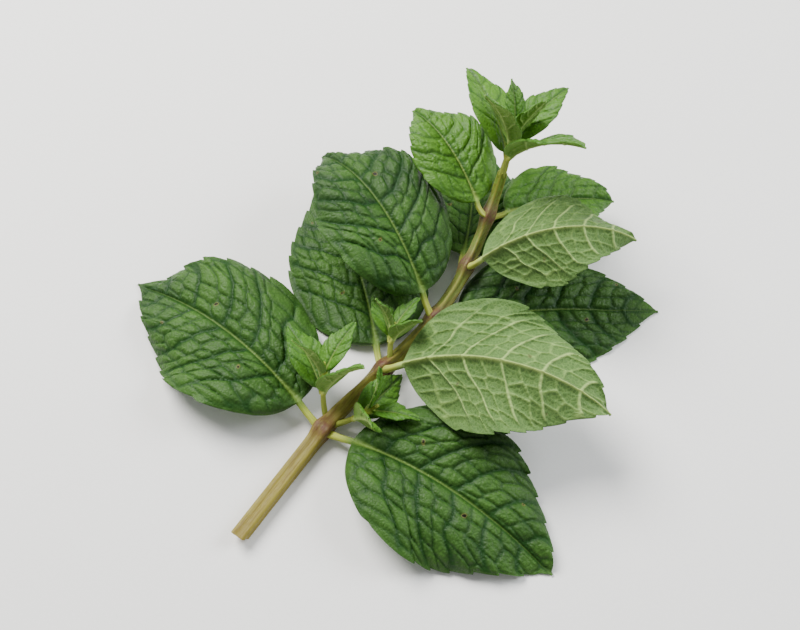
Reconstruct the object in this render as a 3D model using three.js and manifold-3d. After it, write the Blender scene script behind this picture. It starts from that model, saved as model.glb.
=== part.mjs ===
// A freshly cut mint sprig, lying down. Units are millimetres, +Z is up, and z = 0 is the surface that it
// lies on. The stem runs along +Y from its slanting cut end and bends up at its tip. Leaves grow in
// opposite pairs, each a quarter turn from the last, and the stem's twist gives each pair beyond the first
// one low and one high leaf. Every leaf is one closed blade with its petiole.
import * as THREE from "three";
import { mergeVertices } from "three/addons/utils/BufferGeometryUtils.js";
import Module from "manifold-3d";

const wasm = await Module();
wasm.setup();

// ---- Driving dimensions ----
const STEM_LENGTH = 108;
const STEM_HALF = 1.9; // half the width of the square stem at its cut end
const STEM_TIP_HALF = 1.05;
const STEM_FLAT_LENGTH = 28; // the stretch that lies flat on the surface
const STEM_RISE = 9; // how far the stem lifts off the surface as it runs out straight
const RISE_CURVE = 1.2;
const TIP_RISE = 12; // how much farther the tip bends up
const TIP_CURVE = 10;
const STEM_SWAY = 6; // sideways bow of the stem
const SWAY_ARC = 153; // degrees of the sine that the bow follows
const STEM_TWIST = 45; // degrees the square section turns over TWIST_LENGTH
const TWIST_START = 34;
const TWIST_LENGTH = 24;
const STEM_RING_STEP = 3.4;
const NODE_SWELL = 0.5; // extra half width where a pair of leaves grows
const NODE_REACH = 2.4;
const CUT_SLANT = 0.55; // slope of the cut end
const SECTION_FLAT = 0.66; // part of each side of the stem that is flat
const SECTION_CORNER = 0.9; // how far the rounded corner reaches

const CLEARANCE = 0.35; // gap between a petiole and the stem that it grows from
const BLADE_HALF = 0.36; // half the thickness of a blade
const PETIOLE_HALF = 0.85; // half the width of a petiole
const RIB_DEPTH = 1.0; // how far the midrib stands out below the blade at its base
const VEIN_LEAN = 0.37; // how far forward the side veins run, as a part of the blade's length
const VEIN_LEAN_CURVE = 0.4; // part of that lean that only builds up towards the margin
const VEIN_SPACING_CURVE = 1.08; // above 1 the side veins stand closer together near the base
const TOOTH_DEPTH = 0.85; // how far the margin's teeth stand out on the largest leaves
const CUSHION_HEIGHT = 1.0; // height of the cushions between the side veins on the largest leaves
const CUSHION_FLATNESS = 0.7; // the lower, the flatter the cushions and the narrower the side veins' hollows
const NET_WAVES = 1.5; // cushions from the midrib to the margin
const NET_HEIGHT = 0.25; // height left between two of them, as a part of the cushion's
const CUSHION_FADE = 0.6; // part of the cushions' height that is lost by the margin
const LARGEST_LEAF = 56;
const MIDDLING_LENGTH = 35; // a leaf longer than this is a grown one
const TOOTH_FORWARD = 0.5; // how far a tooth's point leans towards the tip, in rows of points
const TOOTH_HOLLOW = 1.4; // above 1 a tooth's long side is hollow
const BASE_ROW = 0.012; // the first row of the blade beyond its petiole, as a part of its length
const CALM_END = 0.1; // part of the blade at its base and at its tip over which its relief rises
const LEAN_START = 0.2; // part of the blade over which its rows take up their full lean
const BODY_START = 0.05; // part of the blade over which the petiole's thickness runs out
const SMALL_PETIOLE = 0.6; // a tiny leaf's petiole, as a part of the width of a large one's
const PETIOLE_FLAT = 0.5; // part of the petiole's width that is flat on top
const PETIOLE_TAPER = 0.6; // part of the petiole's width that its blade's core loses by the tip
const RIB_BASE = 0.6; // half the midrib's width at the base and at the tip, as parts of the petiole's
const RIB_TIP = 0.25;
const RIB_TIP_DEPTH = 0.15; // the midrib's depth at the tip, as a part of its depth at the base
const WAVE_TURNS = 9; // radians that the margin's waves run through along the blade
const BROADEST = 0.78; // below 1 the blade is broadest nearer to its base than to its tip
const BASE_BLUNTNESS = 0.55; // the lower, the rounder is the blade's base
const TIP_SHARPNESS = 0.5; // the higher, the sharper is the blade's tip
const SPINE_STEPS = 64; // steps in which a leaf's midrib is laid out

const NODE_PLACES = [32, 53, 71, 87, 100]; // where along the stem the pairs of leaves grow

const LEAF_GREEN = 0x3c6a38;
const YOUNG_GREEN = 0x5c8a35;
const STEM_STRAW = 0xa8a35c;

// Each leaf's place and pose. node: the pair it is in. around: degrees round the stem, 0 right and 90 up,
// before the stem's twist. heading: degrees from +Y towards +X. bend: degrees the heading turns along the
// leaf. pitch: rise in degrees at the base, middle and tip. roll: 0 shows the upper side, 180 the underside.
// fold: degrees that each half is folded up towards the upper side. curl: how far the margins turn back.
const LEAVES = [
  { name: "leaf_1_right", node: 0, around: 0, heading: 78, bend: 20, pitch: [22, -8, -24],
    roll: 10, twist: -22, petiole: 6, length: 57, width: 38, fold: 11, curl: 0.26, wave: 2.3, phase: 0.4 },
  { name: "leaf_1_left", node: 0, around: 180, heading: -74, bend: -22, pitch: [24, -8, -26],
    roll: -12, twist: 24, petiole: 6, length: 58, width: 39, fold: 12, curl: 0.28, wave: 2.4, phase: 2.1 },
  { name: "leaf_2_right", node: 1, around: 90, heading: 62, bend: 20, pitch: [52, 22, -44],
    roll: 166, twist: 16, petiole: 6, length: 56, width: 36, fold: 24, curl: 0.12, wave: 2.1, phase: 3.3 },
  { name: "leaf_2_left", node: 1, around: 270, heading: -42, bend: -18, pitch: [4, -4, -10],
    roll: -4, twist: 12, petiole: 6, length: 55, width: 36, fold: 10, curl: 0.24, wave: 2.1, phase: 5.0 },
  { name: "leaf_3_right", node: 2, around: 0, heading: 40, bend: 18, pitch: [0, -6, -14],
    roll: 6, twist: -12, petiole: 5, length: 52, width: 34, fold: 12, curl: 0.26, wave: 1.9, phase: 1.2 },
  { name: "leaf_3_left", node: 2, around: 180, heading: -56, bend: -22, pitch: [44, 13, -42],
    roll: -16, twist: 18, petiole: 5, length: 52, width: 34, fold: 13, curl: 0.28, wave: 2.1, phase: 2.8 },
  { name: "leaf_4_right", node: 3, around: 90, heading: 42, bend: 20, pitch: [54, 26, -40],
    roll: 170, twist: 14, petiole: 4, length: 42, width: 27, fold: 30, curl: 0.1, wave: 1.5, phase: 0.9 },
  { name: "leaf_4_left", node: 3, around: 270, heading: -20, bend: -20, pitch: [-8, -12, -12],
    roll: -4, twist: 10, petiole: 4, length: 41, width: 27, fold: 12, curl: 0.24, wave: 1.5, phase: 4.2 },
  { name: "leaf_5_right", node: 4, around: 0, heading: 30, bend: 20, pitch: [2, -8, -24],
    roll: 4, twist: -12, petiole: 3, length: 31, width: 20, fold: 15, curl: 0.2, wave: 1.1, phase: 1.9 },
  { name: "leaf_5_left", node: 4, around: 180, heading: -58, bend: -16, pitch: [35, 17, -26],
    roll: -10, twist: 14, petiole: 3, length: 32, width: 21, fold: 15, curl: 0.2, wave: 1.1, phase: 3.9 },
];

// Each shoot in a leaf's axil: where it grows, where it points and how large its leaves are.
const SHOOT_OFFSET = 3.2; // how far above its leaf a shoot grows from the stem
const SHOOT_RADIUS = 0.8;
const SHOOT_FOOT = 1; // room that a shoot's foot takes at the stem
const SHOOTS = [
  { name: "side_shoot_1_right", node: 0, around: 20, heading: 42,
    pitch: 38, spin: 45, spread: 1, length: 12, leaf: 15 },
  { name: "side_shoot_1_left", node: 0, around: 160, heading: -30,
    pitch: 50, spin: 45, spread: 1, length: 13, leaf: 18 },
  { name: "side_shoot_2_left", node: 1, around: 165, heading: -22,
    pitch: 42, spin: 45, spread: 1, length: 8, leaf: 12 },
];

const CROWN = { length: 10, leaf: 25, spin: 60, spread: 1.15 };

// How a blade is divided: pairs of side veins, teeth on each side, rows of points to each tooth, and the
// places of its columns from the midrib, 0, to the margin, 1.
const GROWN = { veins: 6, teeth: 8, rowsPerTooth: 3, columns: [0, 0.34, 0.7, 1] };
const MIDDLING = { veins: 5, teeth: 7, rowsPerTooth: 3, columns: [0, 0.34, 0.7, 1] };
const SMALL = { veins: 3, teeth: 4, rowsPerTooth: 2, columns: [0, 0.5, 1] };

const UP = new THREE.Vector3(0, 0, 1);
const rad = THREE.MathUtils.degToRad;
const lerp = THREE.MathUtils.lerp;
const smooth = THREE.MathUtils.smoothstep;

// The unit vector at a heading from +Y towards +X and a pitch above the surface, in radians.
function pointing(heading, pitch) {
  const flat = Math.cos(pitch);
  return new THREE.Vector3(flat * Math.sin(heading), flat * Math.cos(heading), Math.sin(pitch));
}

// ---- Solids from rows of points ----

// A closed blade from two equal grids of points, its upper and lower faces, split into triangles alike.
function bladeSolid(upper, lower) {
  const rowCount = upper.length;
  const columnCount = upper[0].length;
  const points = [...upper.flat(), ...lower.flat()];
  const below = rowCount * columnCount;
  const index = [];
  const at = (row, column) => row * columnCount + column;
  const face = (a, b, c) => index.push(a, b, c, c + below, b + below, a + below);
  for (let row = 0; row < rowCount - 1; row++) {
    for (let column = 0; column < columnCount - 1; column++) {
      const near = [at(row, column), at(row, column + 1)];
      const far = [at(row + 1, column), at(row + 1, column + 1)];
      if (column < columnCount / 2 - 1) {
        face(near[0], near[1], far[0]);
        face(near[1], far[1], far[0]);
      } else {
        face(near[0], near[1], far[1]);
        face(near[0], far[1], far[0]);
      }
    }
  }
  const wall = (a, b) => index.push(a, a + below, b + below, a, b + below, b);
  for (let row = 0; row < rowCount - 1; row++) {
    wall(at(row + 1, 0), at(row, 0));
    wall(at(row, columnCount - 1), at(row + 1, columnCount - 1));
  }
  for (let column = 0; column < columnCount - 1; column++) {
    wall(at(0, column), at(0, column + 1));
    wall(at(rowCount - 1, column + 1), at(rowCount - 1, column));
  }
  return new THREE.BufferGeometry().setFromPoints(points).setIndex(index);
}

// A closed tube from rings of points that run clockwise seen along the tube, with flat ends.
function tubeSolid(rings) {
  const sides = rings[0].length;
  const index = [];
  for (let ring = 0; ring < rings.length - 1; ring++) {
    for (let side = 0; side < sides; side++) {
      const a = ring * sides + side;
      const b = ring * sides + ((side + 1) % sides);
      index.push(a, b, b + sides, a, b + sides, a + sides);
    }
  }
  const last = (rings.length - 1) * sides;
  for (let side = 1; side < sides - 1; side++) {
    index.push(0, side + 1, side);
    index.push(last, last + side, last + side + 1);
  }
  return new THREE.BufferGeometry().setFromPoints(rings.flat()).setIndex(index);
}

// ---- Joining closed meshes ----

function toManifold(geometry) {
  const bare = geometry.clone();
  bare.deleteAttribute("normal");
  bare.deleteAttribute("uv");
  const merged = mergeVertices(bare);
  const mesh = new wasm.Mesh({
    numProp: 3,
    vertProperties: new Float32Array(merged.attributes.position.array),
    triVerts: new Uint32Array(merged.index.array),
  });
  return new wasm.Manifold(mesh);
}

function join(geometries) {
  const whole = geometries.map(toManifold).reduce((sum, next) => sum.add(next));
  const mesh = whole.getMesh();
  const joined = new THREE.BufferGeometry();
  joined.setAttribute("position", new THREE.BufferAttribute(new Float32Array(mesh.vertProperties), 3));
  joined.setIndex(new THREE.BufferAttribute(new Uint32Array(mesh.triVerts), 1));
  return joined;
}

// ---- Stem ----

// The part of the free stretch, beyond the flat one, that is passed at y.
function freePart(y) {
  return Math.max(0, y - STEM_FLAT_LENGTH) / (STEM_LENGTH - STEM_FLAT_LENGTH);
}

function stemHalf(y) {
  const swellings = NODE_PLACES.map((place) => Math.exp(-(((y - place) / NODE_REACH) ** 2)));
  const swelling = swellings.reduce((sum, next) => sum + next);
  return lerp(STEM_HALF, STEM_TIP_HALF, freePart(y)) + NODE_SWELL * swelling;
}

function stemCentre(y) {
  const free = freePart(y);
  const x = STEM_SWAY * Math.sin(rad(SWAY_ARC) * free) ** 2;
  const rise = STEM_RISE * free ** RISE_CURVE + TIP_RISE * free ** TIP_CURVE;
  return new THREE.Vector3(x, y, stemHalf(y) + rise);
}

// The stem's place, direction, side and top at y, turned with its twist.
function stemFrame(y) {
  const step = 0.5;
  const along = stemCentre(y + step).sub(stemCentre(y - step));
  along.z -= stemHalf(y + step) - stemHalf(y - step);
  along.normalize();
  const right = new THREE.Vector3().crossVectors(along, UP).normalize();
  right.applyAxisAngle(along, rad(STEM_TWIST) * smooth(y, TWIST_START, TWIST_START + TWIST_LENGTH));
  const top = new THREE.Vector3().crossVectors(right, along);
  return { centre: stemCentre(y), along, right, top };
}

// Corners of the square section with its rounded edges, clockwise seen along the stem, starting below.
function stemSection() {
  const corner = [[SECTION_FLAT, -1], [SECTION_CORNER, -SECTION_CORNER], [1, -SECTION_FLAT]];
  const section = [];
  for (let quarter = 0; quarter < 4; quarter++) {
    for (const [x, z] of corner) {
      const turn = new THREE.Vector2(x, z).rotateAround(new THREE.Vector2(), (quarter * Math.PI) / 2);
      section.push(turn);
    }
  }
  return section.reverse();
}

function stemGeometry() {
  const section = stemSection();
  const rings = [];
  const count = Math.round(STEM_LENGTH / STEM_RING_STEP);
  for (let ring = 0; ring <= count; ring++) {
    const y = (STEM_LENGTH * ring) / count;
    const frame = stemFrame(y);
    const half = stemHalf(y);
    rings.push(section.map((corner) => {
      const point = frame.centre.clone();
      point.addScaledVector(frame.right, half * corner.x).addScaledVector(frame.top, half * corner.y);
      if (ring === 0) point.y -= CUT_SLANT * half * corner.y;
      return point;
    }));
  }
  return tubeSolid(rings);
}

// Where a leaf or shoot of a radius starts: just clear of the stem's side, at an angle round it.
function growthPoint(y, around, heading, pitch, radius) {
  const frame = stemFrame(y);
  const angle = rad(around);
  const outward = frame.right.clone().multiplyScalar(Math.cos(angle));
  outward.addScaledVector(frame.top, Math.sin(angle));
  const slant = Math.sqrt(Math.max(0, 1 - pointing(heading, pitch).dot(outward) ** 2));
  const reach = stemHalf(y) / Math.max(Math.abs(Math.cos(angle)), Math.abs(Math.sin(angle)));
  return frame.centre.clone().addScaledVector(outward, reach + CLEARANCE + radius * slant);
}

// ---- Leaves ----

// Half the width of the blade, as a part of its greatest half width, at a part of its length.
function outline(along) {
  return Math.sin(Math.PI * along ** BROADEST) ** (BASE_BLUNTNESS + TIP_SHARPNESS * along);
}

// The midrib as evenly spaced frames, growing from the origin along +Y.
function leafSpine(leaf) {
  const step = (leaf.petiole + leaf.length) / SPINE_STEPS;
  const [base, middle, tip] = leaf.pitch.map(rad);
  const frames = [];
  const place = new THREE.Vector3();
  for (let count = 0; count <= SPINE_STEPS; count++) {
    const direction = (part) => {
      const pitch = (1 - part) ** 2 * base + 2 * part * (1 - part) * middle + part ** 2 * tip;
      return pointing(rad(leaf.bend) * part, pitch);
    };
    const part = count / SPINE_STEPS;
    const along = direction(part);
    const right = new THREE.Vector3().crossVectors(along, UP).normalize();
    right.applyAxisAngle(along, -rad(leaf.roll + leaf.twist * part));
    const up = new THREE.Vector3().crossVectors(right, along);
    frames.push({ place: place.clone(), right, up });
    place.addScaledVector(direction(part + 0.5 / SPINE_STEPS), step);
  }
  return frames;
}

function spineAt(spine, part) {
  const position = THREE.MathUtils.clamp(part, 0, 1) * SPINE_STEPS;
  const low = Math.min(Math.floor(position), SPINE_STEPS - 1);
  const share = position - low;
  const mix = (key) => spine[low][key].clone().lerp(spine[low + 1][key], share);
  return { place: mix("place"), right: mix("right").normalize(), up: mix("up").normalize() };
}

// Height of the cushion at a share of the way from midrib to margin and a count of side veins.
function cushion(out, veinCount) {
  const betweenVeins = Math.abs(Math.sin(Math.PI * veinCount)) ** CUSHION_FLATNESS;
  const betweenNet = lerp(NET_HEIGHT, 1, Math.abs(Math.sin(NET_WAVES * Math.PI * out)));
  return betweenVeins * betweenNet * (1 - CUSHION_FADE * out ** 2);
}

// Height of the margin's teeth, from 0 in a notch to 1 at a point, at a count of rows.
function tooth(count, rowsPerTooth) {
  return ((count % rowsPerTooth) / (rowsPerTooth - 1)) ** TOOTH_HOLLOW;
}

// A leaf with its petiole as one closed blade, no lower than a floor. Its rows follow the side veins.
function leafGeometry(leaf, floor, plan) {
  const spine = leafSpine(leaf);
  const total = leaf.petiole + leaf.length;
  const scale = leaf.length / LARGEST_LEAF;
  const petioleHalf = PETIOLE_HALF * lerp(SMALL_PETIOLE, 1, scale);
  const rowCount = plan.teeth * plan.rowsPerTooth;
  const half = (side) => plan.columns.map((out) => [side, out]);
  const columns = [...half(-1).reverse(), ...half(1)];
  const upper = [];
  const lower = [];
  const addRow = (pairAt) => {
    const pairs = columns.map(([side, out]) => pairAt(side, out));
    upper.push(pairs.map((pair) => pair[0]));
    lower.push(pairs.map((pair) => pair[1]));
  };
  const place = (part, across, height, over, under) => {
    const frame = spineAt(spine, part);
    const middle = frame.place.addScaledVector(frame.right, across).addScaledVector(frame.up, height);
    const pair = [middle.clone().addScaledVector(frame.up, over), middle.addScaledVector(frame.up, -under)];
    const lift = Math.max(0, floor - Math.min(pair[0].z, pair[1].z));
    pair.forEach((point) => (point.z += lift));
    return pair;
  };
  for (const run of [0, 0.5]) {
    addRow((side, out) => {
      const across = side * petioleHalf * lerp(PETIOLE_FLAT, 1, out);
      const half = lerp(petioleHalf, BLADE_HALF, out ** 2);
      return place((run * leaf.petiole) / total, across, 0, half, half);
    });
  }
  for (let count = -1; count <= rowCount; count++) {
    const run = count < 0 ? 0 : Math.max(BASE_ROW, count / rowCount);
    const row = run ** VEIN_SPACING_CURVE;
    const calm = smooth(row, 0, CALM_END) * smooth(1 - row, 0, CALM_END);
    const rowLean = VEIN_LEAN * (1 - row) * smooth(row, 0, LEAN_START);
    addRow((side, out) => {
      const lean = rowLean * lerp(out, out ** 2, VEIN_LEAN_CURVE);
      const edge = out === 1 && count > 1 && count < rowCount ? tooth(count, plan.rowsPerTooth) : 0;
      const along = Math.min(1, row + lean + (edge * TOOTH_FORWARD) / rowCount);
      const core = petioleHalf * (1 - PETIOLE_TAPER * along);
      const half = Math.max((leaf.width / 2) * outline(along), core);
      const rib = petioleHalf * lerp(RIB_BASE, RIB_TIP, along);
      const toothDepth = edge * TOOTH_DEPTH * scale * smooth(1 - along, 0, CALM_END);
      const across = lerp(rib, half, out) + toothDepth;
      const wave = leaf.wave * calm * out ** 2 * Math.sin(WAVE_TURNS * row + leaf.phase + side);
      const relief = CUSHION_HEIGHT * scale * calm * cushion(out, run * plan.veins);
      const height = across * Math.sin(rad(leaf.fold)) - leaf.curl * half * out ** 3 + relief + wave;
      const ribDepth = out === 0 ? RIB_DEPTH * scale * lerp(1, RIB_TIP_DEPTH, along) : 0;
      const body = lerp(lerp(petioleHalf, BLADE_HALF, out ** 2), BLADE_HALF, smooth(row, 0, BODY_START));
      const part = (leaf.petiole + along * leaf.length) / total;
      return place(part, side * across * Math.cos(rad(leaf.fold)), height, body, body + ribDepth);
    });
  }
  return bladeSolid(upper, lower);
}

// ---- Sprays of small leaves: side shoots and the crown at the tip ----

// The pairs of leaves of a spray from its foot to its tip. place: part of its stem. size: part of its
// largest leaf. pitch: degrees from the spray's stem at the leaf's base, middle and tip.
const SPRAY_PAIRS = [
  { place: 0.35, size: 1, pitch: [30, 52, 66] },
  { place: 0.7, size: 0.76, pitch: [22, 40, 52] },
  { place: 0.95, size: 0.5, pitch: [12, 24, 30] },
];
const SPRAY_SIDES = 8;
const SPRAY_TAPER = 0.55;
const SPRAY_PETIOLE = 1.6;
const SPRAY_LEAF_SHAPE = 0.56; // a small leaf's width as a part of its length
const SPRAY_LEAF_START = 0.3; // how far from the middle of the spray's stem its leaves start, in radii
const SPRAY_LEAF_POSE = { bend: 0, roll: 180, twist: 0, fold: 16, curl: 0.15, wave: 0.3 };
const BUD_SWELL = 1.2; // the bud's radius in radii of the spray's stem
const BUD_STRETCH = 1.7;
const BUD_RINGS = 6;

// A short stem along +Y with its first pairs of leaves and a bud, joined in one solid.
function sprayGeometry(spray, radius, pairCount) {
  const rings = [0, 0.5, 1].map((part) => {
    const circle = new THREE.CircleGeometry(radius * lerp(1, SPRAY_TAPER, part), SPRAY_SIDES);
    circle.rotateX(-Math.PI / 2);
    circle.translate(0, spray.length * part, 0);
    const places = circle.attributes.position;
    const corners = Array.from({ length: SPRAY_SIDES }, (_, corner) => corner + 1);
    return corners.map((corner) => new THREE.Vector3().fromBufferAttribute(places, corner));
  });
  const bud = new THREE.SphereGeometry(radius * BUD_SWELL, SPRAY_SIDES, BUD_RINGS);
  bud.scale(1, BUD_STRETCH, 1);
  bud.translate(0, spray.length, 0);
  const pieces = [tubeSolid(rings), bud];
  SPRAY_PAIRS.slice(0, pairCount).forEach((pair, order) => {
    const length = spray.leaf * pair.size;
    const pitch = pair.pitch.map((angle) => angle * spray.spread);
    for (const side of [0, 180]) {
      const size = { petiole: SPRAY_PETIOLE, length, width: length * SPRAY_LEAF_SHAPE };
      const leaf = { ...SPRAY_LEAF_POSE, ...size, pitch, phase: order + side };
      const blade = leafGeometry(leaf, -Infinity, SMALL);
      blade.translate(0, pair.place * spray.length, radius * SPRAY_LEAF_START);
      blade.rotateY(rad(spray.spin + 90 * order + side));
      pieces.push(blade);
    }
  });
  return join(pieces);
}

// ---- Assembly ----

const sprig = new THREE.Group();

function addMesh(name, geometry, color, roughness) {
  const mesh = new THREE.Mesh(geometry, new THREE.MeshStandardMaterial({ color, roughness, metalness: 0 }));
  mesh.name = name;
  sprig.add(mesh);
  return mesh;
}

addMesh("stem", stemGeometry(), STEM_STRAW, 0.5);

for (const leaf of LEAVES) {
  const foot = NODE_PLACES[leaf.node];
  const start = growthPoint(foot, leaf.around, rad(leaf.heading), rad(leaf.pitch[0]), PETIOLE_HALF);
  const geometry = leafGeometry(leaf, -start.z, leaf.length > MIDDLING_LENGTH ? GROWN : MIDDLING);
  const mesh = addMesh(leaf.name, geometry, LEAF_GREEN, 0.45);
  mesh.position.copy(start);
  mesh.rotation.z = -rad(leaf.heading);
}

for (const shoot of SHOOTS) {
  const mesh = addMesh(shoot.name, sprayGeometry(shoot, SHOOT_RADIUS, 2), YOUNG_GREEN, 0.5);
  const foot = NODE_PLACES[shoot.node] + SHOOT_OFFSET;
  mesh.position.copy(growthPoint(foot, shoot.around, rad(shoot.heading), rad(shoot.pitch), SHOOT_FOOT));
  mesh.rotation.set(rad(shoot.pitch), 0, -rad(shoot.heading), "ZXY");
}

const end = stemFrame(STEM_LENGTH);
const crown = addMesh("tip_crown", sprayGeometry(CROWN, STEM_TIP_HALF, 3), YOUNG_GREEN, 0.5);
crown.position.copy(end.centre).addScaledVector(end.along, CLEARANCE);
crown.rotation.set(Math.asin(end.along.z), 0, -Math.atan2(end.along.x, end.along.y), "ZXY");

// The origin is the middle of the sprig's box, on the surface.
const middle = new THREE.Box3().setFromObject(sprig, true).getCenter(new THREE.Vector3());
sprig.position.set(-middle.x, -middle.y, 0);

export default sprig;
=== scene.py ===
"""Dresses a freshly cut mint sprig: fine veined leaves, a grooved square stem, side shoots and a tip crown.

Lengths are millimetres until a mesh is written, which is in metres. Every leaf is one closed sheet whose
corners are placed by formulas: its midrib's line, its outline with teeth, and the relief of its veins.
"""

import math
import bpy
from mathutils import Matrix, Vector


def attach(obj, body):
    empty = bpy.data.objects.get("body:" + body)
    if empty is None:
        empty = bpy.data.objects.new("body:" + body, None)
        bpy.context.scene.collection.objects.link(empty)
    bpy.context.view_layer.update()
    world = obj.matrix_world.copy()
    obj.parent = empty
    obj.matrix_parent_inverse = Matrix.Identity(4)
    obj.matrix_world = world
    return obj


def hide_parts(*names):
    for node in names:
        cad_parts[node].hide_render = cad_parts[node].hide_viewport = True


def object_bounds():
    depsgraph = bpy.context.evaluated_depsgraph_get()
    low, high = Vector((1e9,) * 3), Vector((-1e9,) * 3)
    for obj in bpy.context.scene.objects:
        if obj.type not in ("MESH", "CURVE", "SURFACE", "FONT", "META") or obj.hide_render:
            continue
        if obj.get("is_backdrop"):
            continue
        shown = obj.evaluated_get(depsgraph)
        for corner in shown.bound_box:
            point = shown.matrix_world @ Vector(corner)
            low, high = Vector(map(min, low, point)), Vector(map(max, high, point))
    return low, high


bl_info = {
    "name": "Mint sprig",
    "version": (1, 0, 0),
    "blender": (4, 5, 0),
    "location": "View3D > Sidebar > Mint sprig",
    "description": "Builds the fine leaves, stem, shoots, materials and studio of a mint sprig",
    "category": "Add Mesh",
}

from types import SimpleNamespace

import bmesh
import bpy
import numpy as np
from bpy.props import FloatProperty, FloatVectorProperty, IntProperty, PointerProperty, StringProperty
from mathutils import Matrix, Vector

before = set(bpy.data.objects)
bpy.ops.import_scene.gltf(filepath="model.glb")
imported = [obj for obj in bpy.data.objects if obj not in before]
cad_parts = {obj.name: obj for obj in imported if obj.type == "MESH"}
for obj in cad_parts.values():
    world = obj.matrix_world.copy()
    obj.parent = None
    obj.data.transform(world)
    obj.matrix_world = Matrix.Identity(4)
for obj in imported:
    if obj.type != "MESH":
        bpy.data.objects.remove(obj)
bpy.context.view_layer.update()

MM = 0.001

# ---- The sprig's plan, as in the solids that it dresses ----

STEM_LENGTH = 108
STEM_HALF = 1.9
STEM_TIP_HALF = 1.05
STEM_FLAT_LENGTH = 28
STEM_RISE = 9
RISE_CURVE = 1.2
TIP_RISE = 12
TIP_CURVE = 10
STEM_SWAY = 6
SWAY_ARC = math.radians(153)
STEM_TWIST = math.radians(45)
TWIST_START = 34
TWIST_LENGTH = 24
NODE_SWELL = 0.5
NODE_REACH = 2.4
CUT_SLANT = 0.55
NODE_PLACES = (32, 53, 71, 87, 100)

CLEARANCE = 0.35
PETIOLE_HALF = 0.85
SMALL_PETIOLE = 0.6
PETIOLE_TAPER = 0.6
RIB_BASE = 0.6
RIB_TIP = 0.25
RIB_DEPTH = 1.0
RIB_TIP_DEPTH = 0.15
BROADEST = 0.78
BASE_BLUNTNESS = 0.55
TIP_SHARPNESS = 0.5
VEIN_LEAN = 0.37
VEIN_LEAN_CURVE = 0.4
LEAN_START = 0.2
VEIN_SPACING_CURVE = 1.08
CALM_END = 0.1
WAVE_TURNS = 9
TOOTH_DEPTH = 0.85
TOOTH_FORWARD = 1 / 6
LARGEST_LEAF = 56

# How a blade is divided: pairs of side veins and teeth on each side.
GROWN = {"veins": 6, "teeth": 8}
MIDDLING = {"veins": 5, "teeth": 7}
MIDDLING_LENGTH = 35
SMALL = {"veins": 4, "teeth": 5}

# Each leaf's place and pose, in degrees and millimetres, with pitch at the base, middle and tip.
LEAF_KEYS = ("node", "around", "heading", "bend", "pitch", "roll", "twist",
             "petiole", "length", "width", "fold", "curl", "wave", "phase")
LEAVES = {
    "leaf_1_right": (0, 0, 78, 20, (22, -8, -24), 10, -22, 6, 57, 38, 11, 0.26, 2.3, 0.4),
    "leaf_1_left": (0, 180, -74, -22, (24, -8, -26), -12, 24, 6, 58, 39, 12, 0.28, 2.4, 2.1),
    "leaf_2_right": (1, 90, 62, 20, (52, 22, -44), 166, 16, 6, 56, 36, 24, 0.12, 2.1, 3.3),
    "leaf_2_left": (1, 270, -42, -18, (4, -4, -10), -4, 12, 6, 55, 36, 10, 0.24, 2.1, 5.0),
    "leaf_3_right": (2, 0, 40, 18, (0, -6, -14), 6, -12, 5, 52, 34, 12, 0.26, 1.9, 1.2),
    "leaf_3_left": (2, 180, -56, -22, (44, 13, -42), -16, 18, 5, 52, 34, 13, 0.28, 2.1, 2.8),
    "leaf_4_right": (3, 90, 42, 20, (54, 26, -40), 170, 14, 4, 42, 27, 30, 0.1, 1.5, 0.9),
    "leaf_4_left": (3, 270, -20, -20, (-8, -12, -12), -4, 10, 4, 41, 27, 12, 0.24, 1.5, 4.2),
    "leaf_5_right": (4, 0, 30, 20, (2, -8, -24), 4, -12, 3, 31, 20, 15, 0.2, 1.1, 1.9),
    "leaf_5_left": (4, 180, -58, -16, (35, 17, -26), -10, 14, 3, 32, 21, 15, 0.2, 1.1, 3.9),
}

# Each side shoot: node, around, heading, pitch, spin, stem length and leaf length.
SHOOT_OFFSET = 3.2
SHOOT_RADIUS = 0.8
SHOOT_FOOT = 1
SHOOTS = {
    "side_shoot_1_right": (0, 20, 42, 38, 45, 12, 15),
    "side_shoot_1_left": (0, 160, -30, 50, 45, 13, 18),
    "side_shoot_2_left": (1, 165, -22, 42, 45, 8, 12),
}
CROWN_LENGTH = 10
CROWN_LEAF = 25
CROWN_SPIN = 60
CROWN_SPREAD = 1.15
# The pairs of a shoot or crown: place along its stem, size, and pitch at the base, middle and tip.
SPRAY_PAIRS = ((0.35, 1.0, (30, 52, 66)), (0.7, 0.76, (22, 40, 52)), (0.95, 0.5, (12, 24, 30)))
SPRAY_TAPER = 0.55
SPRAY_PETIOLE = 1.6
SPRAY_LEAF_SHAPE = 0.56
SPRAY_LEAF_START = 0.3  # how far out from the shoot's line its leaves start, in its radii
SPRAY_LEAF_POSE = {"bend": 0, "roll": 180, "twist": 0, "fold": 16, "curl": 0.15, "wave": 0.3}
SHOOT_PAIRS = 2
CROWN_PAIRS = 3

# ---- Finer forms, beyond those of the solids ----

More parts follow.
